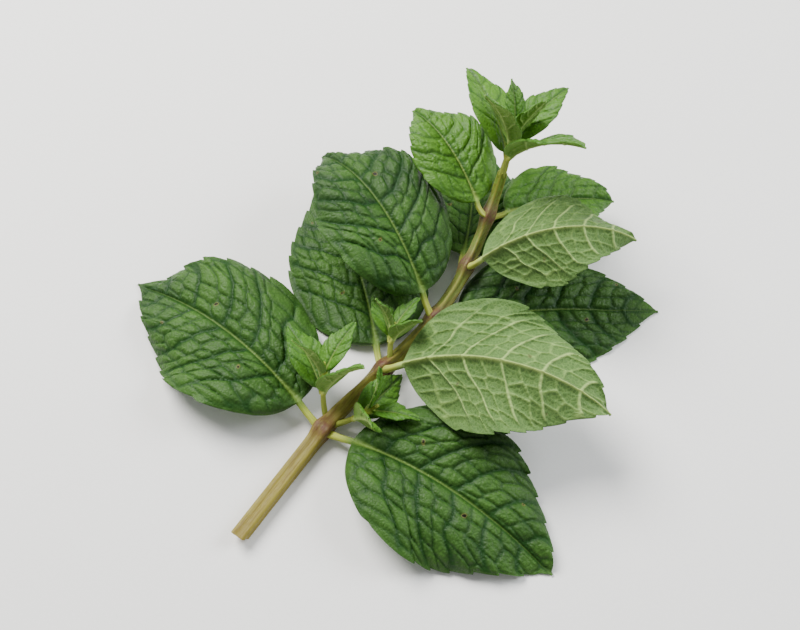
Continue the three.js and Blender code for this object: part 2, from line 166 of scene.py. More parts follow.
# Corners of the sheets and tubes.
PETIOLE_ROWS = 0.12  # part of a leaf's rows that is in its petiole
FOOT_ROWS = 0.03  # part of a leaf's rows that is in its foot, inside the stem
COLUMN_SPACING = 1.08  # above 1, columns stand closer near the midrib
ROW_SPACING = 1.15  # above 1, rows stand closer near the petiole
LEAST_COLUMNS = 0.35  # part of the largest leaf's columns and rows that smaller leaves fall towards
SPRAY_LEAF_COLUMNS = 0.5  # the same, for the leaves of shoots and crown
SPINE_STEPS = 240  # short straight steps that a leaf's midrib is followed in
LEAF_SHARP_ANGLE = math.radians(65)
STEM_SHARP_ANGLE = math.radians(50)
SPRAY_STEM_SIDES = 20
SPRAY_STEM_RINGS = 16
CAP_INSETS = (0.22, 0.28, 0.3)
UV_SIZE = 100  # millimetres of a flat blade across its UV square
LATTICE = 64  # cells after which the noise and the net repeat
TINY = 1e-6

# Where the random draws of each kind of piece start.
LEAF_SEED = 1
SHOOT_SEED = 100
CROWN_SEED = 140
BLUSH_SEED = 4

# Petioles.
FOOT_DEPTH = 2.2  # how far a petiole's foot is sunk into the stem
FOOT_BEND = 0.35  # part of that depth that the petiole has reached where it meets the stem's side
FOOT_BACK = 1.1  # how far the foot runs on backwards as it sinks
FOOT_BEND_START = 0.4  # where the petiole starts to bend, as a part of its way back to the stem
FOOT_WIDTH = 1.2
FOOT_WIDTH_START = 0.7
SHOOT_FOOT_CURVE = 5
FOLD_END = 0.4  # part of the petiole, back from the blade, over which the blade's fold runs out
CHANNEL_DEPTH = 0.3  # depth of the groove on top, in petiole half widths
CHANNEL_HALF = 0.45
PETIOLE_EDGE = 0.02

# Margins.
TOOTH_PEAK = 0.8
TOOTH_RISE = -0.35
TOOTH_REACH = 10  # power of the way out, which keeps the teeth to the margin
TOOTH_GROWTH = (0.03, 0.1)  # parts of the blade from its base over which the teeth grow
TOOTH_FADE = (0.02, 0.14)  # the same, back from its tip
TOOTH_STAGGER = 0.1  # how far the teeth of a side are moved along from its middle place
TOOTH_SCALING = 0.6  # power of the blade's size that the teeth follow
BUCKLE = 0.55  # height of the random dents of a blade
BUCKLE_SIZE = 13
BUCKLE_START = 0.4
BUCKLE_PLACE = 40

# Veins and net.
VEIN_GAP = 0.68  # distance square to the side veins, as a part of their distance along the midrib
VEIN_HALF = 0.18
NET_HALF = 0.2
LEAST_HALF = 0.1  # added to both, so that small blades keep their veins
VEIN_FADE = 0.3  # parts of the way in from the margin over which the side veins and the net fade out
NET_FADE = 0.1
VEIN_WANDER = 0.13  # how far a side vein strays, in distances between veins
WANDER_TURNS = (5, 9)
WANDER_SIZE = 1.3
WANDER_GROWTH = (0, 0.25)
WANDER_FADE = (0.1, 0.5)
LEAN_STEP = 0.005
CELL_ROWS = 2  # rows of cells of the net from each side vein to the next
CELL_LENGTH = 3.6  # distance across the largest blades from cell to cell
SMALL_CELLS = 0.55
CELL_VARIETY = 0.38  # how much the largest cells outgrow the smallest, in cells
CELL_MIDDLES_ACROSS = (0.18, 0.82)  # where a cell's middle may lie in its place in the net
CELL_MIDDLES_ALONG = (0.25, 0.75)
# Spots round each corner whose grooves are averaged.
GROOVE_SAMPLES = ((-0.13, -0.13), (0.13, -0.13), (-0.13, 0.13), (0.13, 0.13))
PEBBLES = 2.2  # pebbles across each cell
WANDER_PLACE = 9  # places where the patterns start, which give both sides of a blade cells of their own
NET_PLACE = 17
PEBBLE_PLACE = (31, 9)
UNDER_RIB_SPREAD = (1.25, 0.9)  # the midrib's half width below, in rib widths, at the blade's base and tip
UPPER_RIB_SPREAD = (1.5, 0.6)  # the same above, at the base and from RIB_FOOT_END on
RIB_FOOT_END = 0.16
UPPER_RIB_TIP = 0.1  # part of the midrib's strength that is left above at the tip

# Relief.
CUSHION_HEIGHT = 0.85
CUSHION_VARIETY = (0.75, 1.05)
TONE_VARIETY = 0.2
GROOVE_ROUNDING = 0.16  # radius of the bottom of the grooves over the veins
VEIN_FOOT = 1.2  # distance from a side vein over which a cushion rises
CELL_FOOT = 1.25  # the same, from a wall of the net
PEBBLE_FOOT = 0.8  # the same for a pebble, in pebbles
CUSHION_JOINING = 0.2  # height of the net's grooves, as a part of the cushions'
MARGIN_WIDTH = 0.12
MARGIN_CUSHIONS = 0.3
TIP_CUSHIONS = 0.6
PEBBLE_HEIGHT = 0.16
RELIEF_SCALING = 0.7
# Where the cushions rise beside the midrib: from, to, both in rib widths, and an addition to the end.
RIB_SHOULDER = (0.6, 2.6, 0.5)
BLADE_HALF = 0.17
MARGIN_HALF = 0.1
BLADE_GROWTH = 0.06
UPPER_VEIN_DEPTH = 0.1
UPPER_RIB_DEPTH = 0.22
UNDER_VEIN_HEIGHT = 0.36
UNDER_NET_HEIGHT = 0.2
UNDER_FILLING = 0.2  # part of the relief that is filled up below
BLADE_START = (-0.01, 0.05)  # where the round petiole turns into the thin blade
RIB_GROOVE_START = (0, 0.08)
RIB_RIDGE_START = (-0.02, 0.04)

# Values that the colours follow.
PATCHES = ((0.35, 9), (0.2, 2.5))  # strength and size of paler patches
# Dome values in the calm base and tip, between pebbles and on the petiole; the dome value sets the painted
# highlight on the cushions and the painted shade between them.
CALM_DOME = 0.7
PEBBLE_SHADE = 0.78
PETIOLE_DOME = 0.5
MARGIN_START = 0.93
STALK_START = (-0.04, 0.7)
SPRAY_STEM_VALUES = {"patch": 0.6, "dome": 0.6, "midrib": 0.3, "stalk": 0.85}

# Stem.
STEM_SQUARENESS = 5  # power that rounds the square
GROOVE_HALF = 0.38  # radians from the middle of a side
STEM_RIBS = 20
RIB_HEIGHT = 0.035
RIB_DRIFT = 0.02  # radians that the ribs turn for each millimetre
PITH_SAG = 0.35
PITH_SAG_CURVE = 1.5
GREENING_START = 10
CORNER_BEND = (1.05, 1.22)  # how far out the stem's corners start and reach, in its half widths
BLUSH_REACH = 1.3
BLUSH_STRENGTH = 0.85
BLUSH_PATCHES = 0.2
BLUSH_PATCH_SIZE = 6
BLUSH_PATCH_TURN = 3  # steps of the patches' noise for each radian round the stem


# ---- Curves and patterns ----


def smooth(value, low, high):
    """An S-shaped rise from 0 at low to 1 at high."""
    part = np.clip((value - low) / (high - low), 0, 1)
    return part * part * (3 - 2 * part)


def lerp(first, last, part):
    return first + (last - first) * part


def unit(vectors):
    return vectors / np.linalg.norm(vectors, axis=-1, keepdims=True)


def turned(vectors, axes, angles):
    """Vectors turned round unit axes, by angles in radians."""
    cosine, sine = np.cos(angles)[..., None], np.sin(angles)[..., None]
    along = np.sum(vectors * axes, axis=-1, keepdims=True)
    return vectors * cosine + np.cross(axes, vectors) * sine + axes * along * (1 - cosine)


def line(distance, half_width):
    """1 on a line, fading to 0 a little beyond its half width."""
    return np.exp(-((distance / half_width) ** 2))


def pillow(distance, reach):
    """A rounded rise from 0 at a distance of 0 to 1 at its reach, with a rounded foot."""
    rounded = np.hypot(distance, GROOVE_ROUNDING) - GROOVE_ROUNDING
    part = np.clip(rounded / reach, 0, 1)
    return 1 - (1 - part) ** 2


def soft_noise(x, y, size, seed):
    """Smooth noise from -1 to 1 over a plane, with patches of a size."""
    lattice = np.random.default_rng(seed).uniform(-1, 1, (LATTICE, LATTICE))
    column, row = x / size + LATTICE / 2, y / size + LATTICE / 2
    low_column, low_row = np.floor(column).astype(int), np.floor(row).astype(int)
    share_x = smooth(column - low_column, 0, 1)
    share_y = smooth(row - low_row, 0, 1)

    def at(step_x, step_y):
        return lattice[(low_column + step_x) % LATTICE, (low_row + step_y) % LATTICE]

    return lerp(lerp(at(0, 0), at(1, 0), share_x), lerp(at(0, 1), at(1, 1), share_x), share_y)


def cell_walls(x, y, seed, variety=0.0, band=LATTICE):
    """How far a point is from the wall to the next cell, in a net of cells about one unit wide.

    Cells reach no neighbour in another band of so many rows.
    """
    draws = np.random.default_rng(seed).uniform(0, 1, (LATTICE, LATTICE, 3))
    low_x, low_y = np.floor(x).astype(int), np.floor(y).astype(int)
    distances = []
    for step_x in (-1, 0, 1):
        for step_y in (-1, 0, 1):
            cell_x, cell_y = low_x + step_x, low_y + step_y
            draw = draws[cell_x % LATTICE, cell_y % LATTICE]
            from_x = cell_x + lerp(*CELL_MIDDLES_ACROSS, draw[..., 0]) - x
            from_y = cell_y + lerp(*CELL_MIDDLES_ALONG, draw[..., 1]) - y
            far = np.where(cell_y // band == low_y // band, 0, band)
            distances.append(np.hypot(from_x, from_y) - variety * draw[..., 2] + far)
    nearest = np.sort(np.stack(distances), axis=0)
    return nearest[1] - nearest[0]


# ---- Stem line ----


def free_part(y):
    """The part of the free stretch, beyond the flat one, that is passed at y."""
    return np.maximum(0, y - STEM_FLAT_LENGTH) / (STEM_LENGTH - STEM_FLAT_LENGTH)


def stem_half(y):
    swelling = sum(np.exp(-(((y - place) / NODE_REACH) ** 2)) for place in NODE_PLACES)
    return lerp(STEM_HALF, STEM_TIP_HALF, free_part(y)) + NODE_SWELL * swelling


def stem_centre(y):
    free = free_part(y)
    rise = STEM_RISE * free**RISE_CURVE + TIP_RISE * free**TIP_CURVE
    return np.stack([STEM_SWAY * np.sin(SWAY_ARC * free) ** 2, y, stem_half(y) + rise], axis=-1)


def stem_frame(y):
    """The stem's centre, direction, right side and top at y."""
    y = np.asarray(y, float)
    along = stem_centre(y + 0.5) - stem_centre(y - 0.5)
    along[..., 2] -= stem_half(y + 0.5) - stem_half(y - 0.5)
    along = unit(along)
    right = unit(np.cross(along, (0, 0, 1)))
    right = turned(right, along, STEM_TWIST * smooth(y, TWIST_START, TWIST_START + TWIST_LENGTH))
    return stem_centre(y), along, right, np.cross(right, along)


def growth_point(y, around, heading, pitch, radius):
    """Where a leaf or shoot starts, and the way out of the stem there."""
    centre, _, right, top = stem_frame(y)
    angle = math.radians(around)
    outward = right * math.cos(angle) + top * math.sin(angle)
    heading, pitch = math.radians(heading), math.radians(pitch)
    start = np.array(
        [math.sin(heading) * math.cos(pitch), math.cos(heading) * math.cos(pitch), math.sin(pitch)]
    )
    slant = math.sqrt(max(0, 1 - float(start @ outward) ** 2))
    reach = float(stem_half(y)) / max(abs(math.cos(angle)), abs(math.sin(angle)))
    return centre + outward * (reach + CLEARANCE + radius * slant), outward


def foot_move(turn, outward):
    """How far a foot moves, in its own frame, as it bends into what it grows from."""
    return np.array(turn.inverted().to_3x3() @ Vector(-outward)) * FOOT_DEPTH - (0, FOOT_BACK, 0)


# ---- Leaf form ----


def outline(along):
    """A blade's half width as a part of its greatest."""
    base = np.sin(math.pi * np.clip(along, 0, 1) ** BROADEST)
    return np.maximum(base, 0) ** (BASE_BLUNTNESS + TIP_SHARPNESS * along)


def leaf_spine(leaf):
    """The midrib's places, right sides and upper sides in evenly spaced frames, from the origin along +Y."""
    base, middle, tip = (math.radians(angle) for angle in leaf["pitch"])

    def direction(part):
        pitch = (1 - part) ** 2 * base + 2 * part * (1 - part) * middle + part**2 * tip
        heading = math.radians(leaf["bend"]) * part
        flat = np.cos(pitch)
        return np.stack([np.sin(heading) * flat, np.cos(heading) * flat, np.sin(pitch)], axis=-1)

    part = np.arange(SPINE_STEPS + 1) / SPINE_STEPS
    along = direction(part)
    right = unit(np.cross(along, (0, 0, 1)))
    right = turned(right, along, -np.radians(leaf["roll"] + leaf["twist"] * part))
    moves = direction(part[:-1] + 0.5 / SPINE_STEPS) * (leaf["petiole"] + leaf["length"]) / SPINE_STEPS
    places = np.concatenate([np.zeros((1, 3)), np.cumsum(moves, axis=0)])
    return places, right, np.cross(right, along)


def at_spine(spine, part):
    """Frames interpolated at parts of the whole length from 0 to 1."""
    position = np.clip(part, 0, 1) * SPINE_STEPS
    low = np.minimum(position.astype(int), SPINE_STEPS - 1)
    share = (position - low)[:, None]
    place, right, up = (lerp(values[low], values[low + 1], share) for values in spine)
    return place, unit(right), unit(up)


def tooth_shape(phase):
    """Height of a blunt saw tooth that rises slowly towards the leaf's tip and drops back sharply."""
    part = phase % 1
    rise = smooth(part, TOOTH_RISE, TOOTH_PEAK)
    return np.where(part < TOOTH_PEAK, rise, 1 - smooth(part, TOOTH_PEAK, 1))


def row_lean(row, out):
    """How far forward of its start at the midrib a row has run, as a part of the blade's length."""
    return VEIN_LEAN * lerp(out, out**2, VEIN_LEAN_CURVE) * (1 - row) * smooth(row, 0, LEAN_START)


def blade_outline(leaf, grid, plan):
    """Where the corners of a sheet lie over the flat blade, and how they share its width and length."""
    side, out = np.sign(grid[:, 0]), np.abs(grid[:, 0])
    scale = leaf["length"] / LARGEST_LEAF
    petiole_half = PETIOLE_HALF * lerp(SMALL_PETIOLE, 1, scale)
    linear = np.maximum(grid[:, 1], 0)
    row = linear**VEIN_SPACING_CURVE
    rim = out**TOOTH_REACH * smooth(row, *TOOTH_GROWTH) * smooth(1 - row, *TOOTH_FADE)
    tooth = tooth_shape(plan["teeth"] * linear + TOOTH_STAGGER * side) * rim
    along = np.minimum(1, row + row_lean(row, out) + tooth * TOOTH_FORWARD / plan["teeth"])
    half = np.maximum(leaf["width"] / 2 * outline(along), petiole_half * (1 - PETIOLE_TAPER * along))
    return SimpleNamespace(
        side=side,
        out=out,
        linear=linear,
        row=row,
        along=along,
        half=half,
        across=out * half + tooth * TOOTH_DEPTH * scale**TOOTH_SCALING,
        scale=scale,
        length=leaf["length"],
        petiole_half=petiole_half,
        rib=petiole_half * lerp(RIB_BASE, RIB_TIP, along),
        calm=smooth(row, 0, CALM_END) * smooth(1 - row, 0, CALM_END),
        fine_calm=smooth(row, 0, CALM_END / 2) * smooth(1 - row, 0, CALM_END / 2),
    )


def count_veins(flat, signed_out, veins, seed):
    """How many side veins are passed at each corner, and how far the nearest real one is."""
    x, y = signed_out * WANDER_TURNS[0] + WANDER_PLACE, flat.linear * WANDER_TURNS[1]
    wander = VEIN_WANDER * soft_noise(x, y, WANDER_SIZE, seed)
    wander *= smooth(flat.out, *WANDER_GROWTH) * smooth(1 - flat.linear, *WANDER_FADE)
    count = flat.linear * veins + wander
    nearest = np.round(count)
    real = (nearest > 0.5) & (nearest < veins - 0.5)
    leaning = row_lean(flat.row + LEAN_STEP, flat.out) - row_lean(flat.row - LEAN_STEP, flat.out)
    gap = VEIN_GAP * flat.length / veins
    return count, np.where(real, np.abs(count - nearest), 1) * gap * (1 + leaning / (2 * LEAN_STEP)), gap


def blade_veins(flat, signed_out, veins, seed):
    """How strongly each corner belongs to the midrib, side veins, net, cushions and pebbles."""
    count, from_vein, gap = count_veins(flat, signed_out, veins, seed)
    cell = CELL_LENGTH * lerp(SMALL_CELLS, 1, flat.scale)
    samples = []
    for off_x, off_y in GROOVE_SAMPLES:
        cell_x = (flat.across + off_x) / cell * flat.side + NET_PLACE
        cell_y = (count + off_y / gap) * CELL_ROWS
        samples.append(cell * cell_walls(cell_x, cell_y, seed, CELL_VARIETY, CELL_ROWS))
    walls = np.mean(samples, axis=0)
    swell = np.mean([pillow(sample, CELL_FOOT * flat.scale) for sample in samples], axis=0)
    pebble = cell / PEBBLES
    pebble_x = flat.across / pebble * flat.side + PEBBLE_PLACE[0]
    pebble_y = flat.along * flat.length / pebble + PEBBLE_PLACE[1]
    pebble_walls = pebble * cell_walls(pebble_x, pebble_y, seed + 1)

    shoulder, shoulder_end, shoulder_rest = RIB_SHOULDER
    inner = smooth(flat.across, shoulder * flat.rib, shoulder_end * flat.rib + shoulder_rest * flat.scale)
    dome = pillow(from_vein, VEIN_FOOT * flat.scale) * lerp(CUSHION_JOINING, 1, swell)
    dome *= inner * flat.fine_calm * lerp(MARGIN_CUSHIONS, 1, smooth(1 - flat.out, 0, MARGIN_WIDTH))
    side_vein = line(from_vein, VEIN_HALF * flat.scale + LEAST_HALF) * smooth(1 - flat.out, 0, VEIN_FADE)
    net = line(walls, NET_HALF * flat.scale + LEAST_HALF) * inner * smooth(1 - flat.out, 0, NET_FADE)
    upper_spread = lerp(*UPPER_RIB_SPREAD, smooth(flat.along, 0, RIB_FOOT_END))
    return SimpleNamespace(
        dome=dome,
        pebble=pillow(pebble_walls, PEBBLE_FOOT * pebble) * flat.fine_calm,
        side_vein=side_vein * flat.fine_calm,
        net=net * flat.fine_calm,
        midrib=line(flat.across, flat.rib * lerp(*UNDER_RIB_SPREAD, flat.along)),
        upper_midrib=line(flat.across, flat.rib * upper_spread) * lerp(1, UPPER_RIB_TIP, flat.along),
    )


def blade_height(leaf, flat, relief, seed):
    """How far the folded, waved and dented blade's middle stands above its midrib's line."""
    wave = leaf["wave"] * flat.calm * flat.out**2 * np.sin(WAVE_TURNS * flat.row + leaf["phase"] + flat.side)
    x, y = flat.across * flat.side + BUCKLE_PLACE, flat.along * flat.length
    dents = soft_noise(x, y, BUCKLE_SIZE * flat.scale, seed + 2)
    buckle = BUCKLE * flat.scale * flat.calm * dents * smooth(flat.out, 0, BUCKLE_START)
    folded = np.sqrt(flat.across**2 + flat.rib**2) * math.sin(math.radians(leaf["fold"]))
    return folded - leaf["curl"] * flat.half * flat.out**3 + relief + wave + buckle


def blade_faces(flat, veins, relief, run):
    """How far the upper side stands above the middle of the blade or petiole, and the underside below it."""
    blade = smooth(run, *BLADE_START)
    round_half = np.sqrt(np.maximum(0, 1 - flat.out**2)) * flat.petiole_half + PETIOLE_EDGE
    flat_half = lerp(BLADE_HALF, MARGIN_HALF, flat.out**4) + BLADE_GROWTH * flat.scale
    body = lerp(round_half, flat_half, blade)
    channel = CHANNEL_DEPTH * flat.petiole_half * line(flat.out, CHANNEL_HALF) * (1 - blade)
    above = body - channel - UPPER_VEIN_DEPTH * (veins.side_vein + veins.net) * flat.scale
    above -= veins.midrib * UPPER_RIB_DEPTH * flat.scale * smooth(run, *RIB_GROOVE_START)
    ridge = RIB_DEPTH * flat.scale * lerp(1, RIB_TIP_DEPTH, flat.along) * veins.midrib
    below = body + ridge * smooth(run, *RIB_RIDGE_START) + UNDER_FILLING * relief
    below += (UNDER_VEIN_HEIGHT * veins.side_vein + UNDER_NET_HEIGHT * veins.net) * flat.scale
    return above, below


def leaf_values(flat, veins, spots, run, is_upper, tone, seed):
    """The values at each corner that its colour follows."""
    in_petiole = run < 0
    patch = 0.5 + tone
    for order, (strength, size) in enumerate(PATCHES):
        patch = patch + strength * soft_noise(spots[:, 0], spots[:, 1], size, seed + 3 + order)
    # The dome value sets the painted highlight on the cushions and the painted shade between them.
    dome = lerp(CALM_DOME, veins.dome * lerp(PEBBLE_SHADE, 1, veins.pebble), flat.fine_calm)
    midrib = np.where(is_upper, veins.upper_midrib, veins.midrib)
    return {
        "midrib": np.where(in_petiole, 1, midrib),
        "side_vein": np.where(in_petiole, 0, veins.side_vein),
        "net": np.where(in_petiole, 0, veins.net),
        "dome": np.where(in_petiole, PETIOLE_DOME, dome),
        "patch": np.clip(patch, 0, 1),
        "margin": np.where(in_petiole, 0, smooth(flat.out, MARGIN_START, 1)),
        "stalk": smooth(-run, *STALK_START),
    }


def leaf_surface(leaf, grid, plan, seed):
    """Places for a sheet's corners, the values that their colours follow, and their spots on the flat blade.

    grid holds x from -1 to 1 across, y from -1 at the petiole's foot to 1 at the tip, z 0 below or 1 above.
    """
    run, is_upper = grid[:, 1], grid[:, 2] > 0.5
    in_petiole = run < 0
    flat = blade_outline(leaf, grid, plan)
    veins = blade_veins(flat, grid[:, 0], plan["veins"], seed)
    lows, highs = zip(CUSHION_VARIETY, (-TONE_VARIETY, TONE_VARIETY))
    quilting, tone = np.random.default_rng(seed + 5).uniform(lows, highs)
    relief = CUSHION_HEIGHT * quilting * veins.dome * lerp(1, TIP_CUSHIONS, flat.along**2)
    relief = (relief + PEBBLE_HEIGHT * veins.pebble) * flat.scale**RELIEF_SCALING
    height = blade_height(leaf, flat, relief, seed)
    above, below = blade_faces(flat, veins, relief, run)

    fold = math.radians(leaf["fold"])
    widened = flat.petiole_half * lerp(1, FOOT_WIDTH, smooth(-run, FOOT_WIDTH_START, 1))
    across = np.where(in_petiole, flat.out * widened, flat.across * math.cos(fold))
    folded_rib = lerp(flat.rib * math.sin(fold), 0, smooth(-run, 0, FOLD_END))
    offset = np.where(in_petiole, folded_rib, height) + np.where(is_upper, above, -below)
    passed = np.where(in_petiole, (1 + run) * leaf["petiole"], leaf["petiole"] + flat.along * flat.length)
    place, right, up = at_spine(leaf_spine(leaf), passed / (leaf["petiole"] + flat.length))
    points = place + right * (flat.side * across)[:, None] + up * offset[:, None]
    spots = np.stack([flat.side * across, flat.along * flat.length], axis=-1)
    return points, leaf_values(flat, veins, spots, run, is_upper, tone, seed), spots


def lifted(points, grid, floor):
    """Points with every pair of upper and lower corners raised until neither is below the floor."""
    _, pair = np.unique(np.round(grid, 5), axis=0, return_inverse=True)
    pair = pair.ravel()
    lowest = np.full(pair.max() + 1, np.inf)
    np.minimum.at(lowest, pair, points[:, 2])
    points[:, 2] += np.maximum(0, floor - lowest)[pair]
    return points


# ---- Meshes ----


def sheet_mesh(name, columns, rows):
    """A closed sheet from -1 to 1 in x and y, with z 0 below and 1 above."""
    bm = bmesh.new()
    bmesh.ops.create_grid(bm, x_segments=columns, y_segments=rows, size=1)
    grown = bmesh.ops.extrude_face_region(bm, geom=bm.faces[:], use_keep_orig=True)
    raised = [item for item in grown["geom"] if isinstance(item, bmesh.types.BMVert)]
    bmesh.ops.translate(bm, verts=raised, vec=(0, 0, 1))
    bmesh.ops.recalc_face_normals(bm, faces=bm.faces[:])
    return finished_mesh(name, bm)


def tube_mesh(name, sides, rings):
    """A capped tube round z, of radius 1, from 0 to 1, with slot 1 on the cap at 0."""
    bm = bmesh.new()
    bmesh.ops.create_cone(bm, cap_ends=True, segments=sides, radius1=1, radius2=1, depth=1)
    bmesh.ops.translate(bm, verts=bm.verts[:], vec=(0, 0, 0.5))
    long_edges = [edge for edge in bm.edges if abs(edge.verts[0].co.z - edge.verts[1].co.z) > 0.5]
    bmesh.ops.subdivide_edges(bm, edges=long_edges, cuts=rings - 1, use_grid_fill=True)
    for inset in CAP_INSETS:
        caps = [face for face in bm.faces if len(face.verts) == sides]
        bmesh.ops.inset_region(bm, faces=caps, thickness=inset, use_even_offset=True)
    for face in bm.faces:
        face.material_index = int(max(vert.co.z for vert in face.verts) < TINY)
    return finished_mesh(name, bm)


def gathered(name, meshes):
    """One mesh from several."""
    bm = bmesh.new()
    for mesh in meshes:
        bm.from_mesh(mesh)
        bpy.data.meshes.remove(mesh)
    return finished_mesh(name, bm)


def finished_mesh(name, bm):
    mesh = bpy.data.meshes.new(name)
    bm.to_mesh(mesh)
    bm.free()
    return mesh


def read_points(mesh):
    points = np.zeros(len(mesh.vertices) * 3)
    mesh.vertices.foreach_get("co", points)
    return points.reshape(-1, 3)


def write_points(mesh, points):
    mesh.vertices.foreach_set("co", np.ascontiguousarray(points, float).ravel())
    mesh.update()


def write_values(mesh, name, values):
    attribute = mesh.attributes.get(name) or mesh.attributes.new(name, "FLOAT", "POINT")
    attribute.data.foreach_set("value", np.asarray(values, np.float32))


def corner_vertices(mesh):
    corners = np.zeros(len(mesh.loops), int)
    mesh.loops.foreach_get("vertex_index", corners)
    return corners


def shade_smooth(mesh, sharp_angle):
    """Smooth shading, apart from edges that bend by more than an angle."""
    mesh.polygons.foreach_set("use_smooth", np.ones(len(mesh.polygons), bool))
    mesh.set_sharp_from_angle(angle=sharp_angle)


def spaced(grid):
    """A sheet's corners set closer at the midrib and the petiole, and how deep in its foot each one is."""
    grid[:, 0] = np.sign(grid[:, 0]) * np.abs(grid[:, 0]) ** COLUMN_SPACING
    run = (grid[:, 1] + 1) / 2
    in_petiole = lerp(-1, 0, (run - FOOT_ROWS) / (PETIOLE_ROWS - FOOT_ROWS))
    in_blade = (np.maximum(0, run - PETIOLE_ROWS) / (1 - PETIOLE_ROWS)) ** ROW_SPACING
    grid[:, 1] = np.where(run < PETIOLE_ROWS, in_petiole, in_blade)
    bent = FOOT_BEND * np.clip((-grid[:, 1] - FOOT_BEND_START) / (1 - FOOT_BEND_START), 0, 1) ** 2
    sunk = np.maximum(0, -1 - grid[:, 1]) * (PETIOLE_ROWS - FOOT_ROWS) / FOOT_ROWS
    grid[:, 1] = np.maximum(grid[:, 1], -1)
    return grid, run, lerp(bent, 1, sunk)


def leaf_mesh(name, leaf, columns, rows, plan, seed, foot=None, floor=None):
    """A fine leaf in its own frame, with slot 0 on the upper side and slot 1 on the underside."""
    mesh = sheet_mesh(name, columns, rows)
    grid, run, depth = spaced(read_points(mesh))
    points, values, spots = leaf_surface(leaf, grid, plan, seed)
    if foot is not None:
        points += depth[:, None] * foot
    if floor is not None:
        points = lifted(points, np.column_stack([grid[:, 0], run]), floor)
    write_points(mesh, points * MM)
    for key, each in values.items():
        write_values(mesh, key, each)
    corners = corner_vertices(mesh)
    layer = mesh.uv_layers.new(name="leaf")
    layer.data.foreach_set("uv", (spots[corners] / UV_SIZE).astype(np.float32).ravel())
    is_lower = grid[:, 2][corners].reshape(-1, 4).max(axis=1) < 0.5
    mesh.polygons.foreach_set("material_index", is_lower.astype(np.int32))
    shade_smooth(mesh, LEAF_SHARP_ANGLE)
    return mesh


def add_piece(context, node, mesh, finishes):
    """Shows a mesh in place of a solid of the frame, whose name it takes."""
    piece = bpy.data.objects.new(node + "_fine", mesh)
    context.scene.collection.objects.link(piece)
    for finish in finishes:
        mesh.materials.append(MATERIALS[finish])
    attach(piece, "root")
    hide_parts(node)


def frame_shift():
    """How far the frame's origin is from the middle of the stem's cut end, in millimetres."""
    points = read_points(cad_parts["stem"].data) / MM
    end = points[:, 1].min()
    near = points[points[:, 1] < end + STEM_FLAT_LENGTH / 2]
    return np.array([(near[:, 0].min() + near[:, 0].max()) / 2, end + CUT_SLANT * STEM_HALF, 0])


SHIFT = frame_shift()


def place_mesh(mesh, place, turn=None):
    """Moves a mesh made round its own origin to a place in millimetres in the sprig's frame."""
    matrix = Matrix.Translation(Vector(place + SHIFT) * MM)
    mesh.transform(matrix @ turn if turn else matrix)
    mesh.update()


# ---- Materials ----

MATERIALS = {}
SMOOTH_RANGE = {"interpolation_type": "SMOOTHSTEP"}
MULTIPLY = {"operation": "MULTIPLY"}
TINT = {"data_type": "RGBA", "blend_type": "MIX"}
DARKEN = {"data_type": "RGBA", "blend_type": "MULTIPLY"}

# Sizes of the finishes' patterns, in millimetres.
LEAF_GRAIN = 0.5882  # clusters of leaf cells, drawn coarser than the real 0.1 so that they show
LEAF_AREOLES = 0.9091  # the finest net of veins, drawn coarser than the real 0.5
SPECK_SPACING = 8.333
SPECK_RAGS = 1.111
STREAK_WIDTH = 0.3846  # strands of fibre under the skin, and how far each shows
STREAK_LENGTH = 6.25
STEM_GRAIN = 1.111
PITH_CELLS = 0.2857  # drawn coarser than the real 0.15 so that they show
PITH_STAINS = 0.7143
PAPER_GRAIN = 0.8333


def colour(code):
    """A linear colour from sRGB hexadecimal digits."""
    parts = [int(code[place : place + 2], 16) / 255 for place in (0, 2, 4)]
    linear = [part / 12.92 if part <= 0.04045 else ((part + 0.055) / 1.055) ** 2.4 for part in parts]
    return (*linear, 1)


def add_node(material, kind, settings, inputs):
    """A node with its settings, and its inputs: each a value, a hexadecimal colour or a socket to link."""
    tree = material.node_tree
    node = tree.nodes.new(kind)
    for name, value in settings.items():
        setattr(node, name, value)
    for key, value in inputs.items():
        if isinstance(value, bpy.types.NodeSocket):
            tree.links.new(value, node.inputs[key])
        else:
            node.inputs[key].default_value = colour(value) if isinstance(value, str) else value
    return node


def share_of(material, name, most=1, low=0, high=1, rise="LINEAR"):
    """How much of a tint a spot takes: a value of its surface, brought from low to high into 0 to most."""
    value = add_node(material, "ShaderNodeAttribute", {"attribute_name": name}, {}).outputs["Fac"]
    settings = {"interpolation_type": rise}
    inputs = {0: value, 1: low, 2: high, 3: 0, 4: most}
    return add_node(material, "ShaderNodeMapRange", settings, inputs).outputs[0]


def tinted(material, base, layers):
    """A base colour with tints laid over it in turn, each by its share."""
    for share, tint in layers:
        base = add_node(material, "ShaderNodeMix", TINT, {0: share, 6: base, 7: tint}).outputs[2]
    return base


def new_material(name):
    material = bpy.data.materials.new(name)
    material.use_nodes = True
    material.node_tree.nodes.clear()
    return material


def finish_material(material, base, roughness, normal, constants):
    inputs = {"Base Color": base, "Roughness": roughness, "Normal": normal, **constants}
    shader = add_node(material, "ShaderNodeBsdfPrincipled", {}, inputs)
    add_node(material, "ShaderNodeOutputMaterial", {}, {"Surface": shader.outputs[0]})
    return material
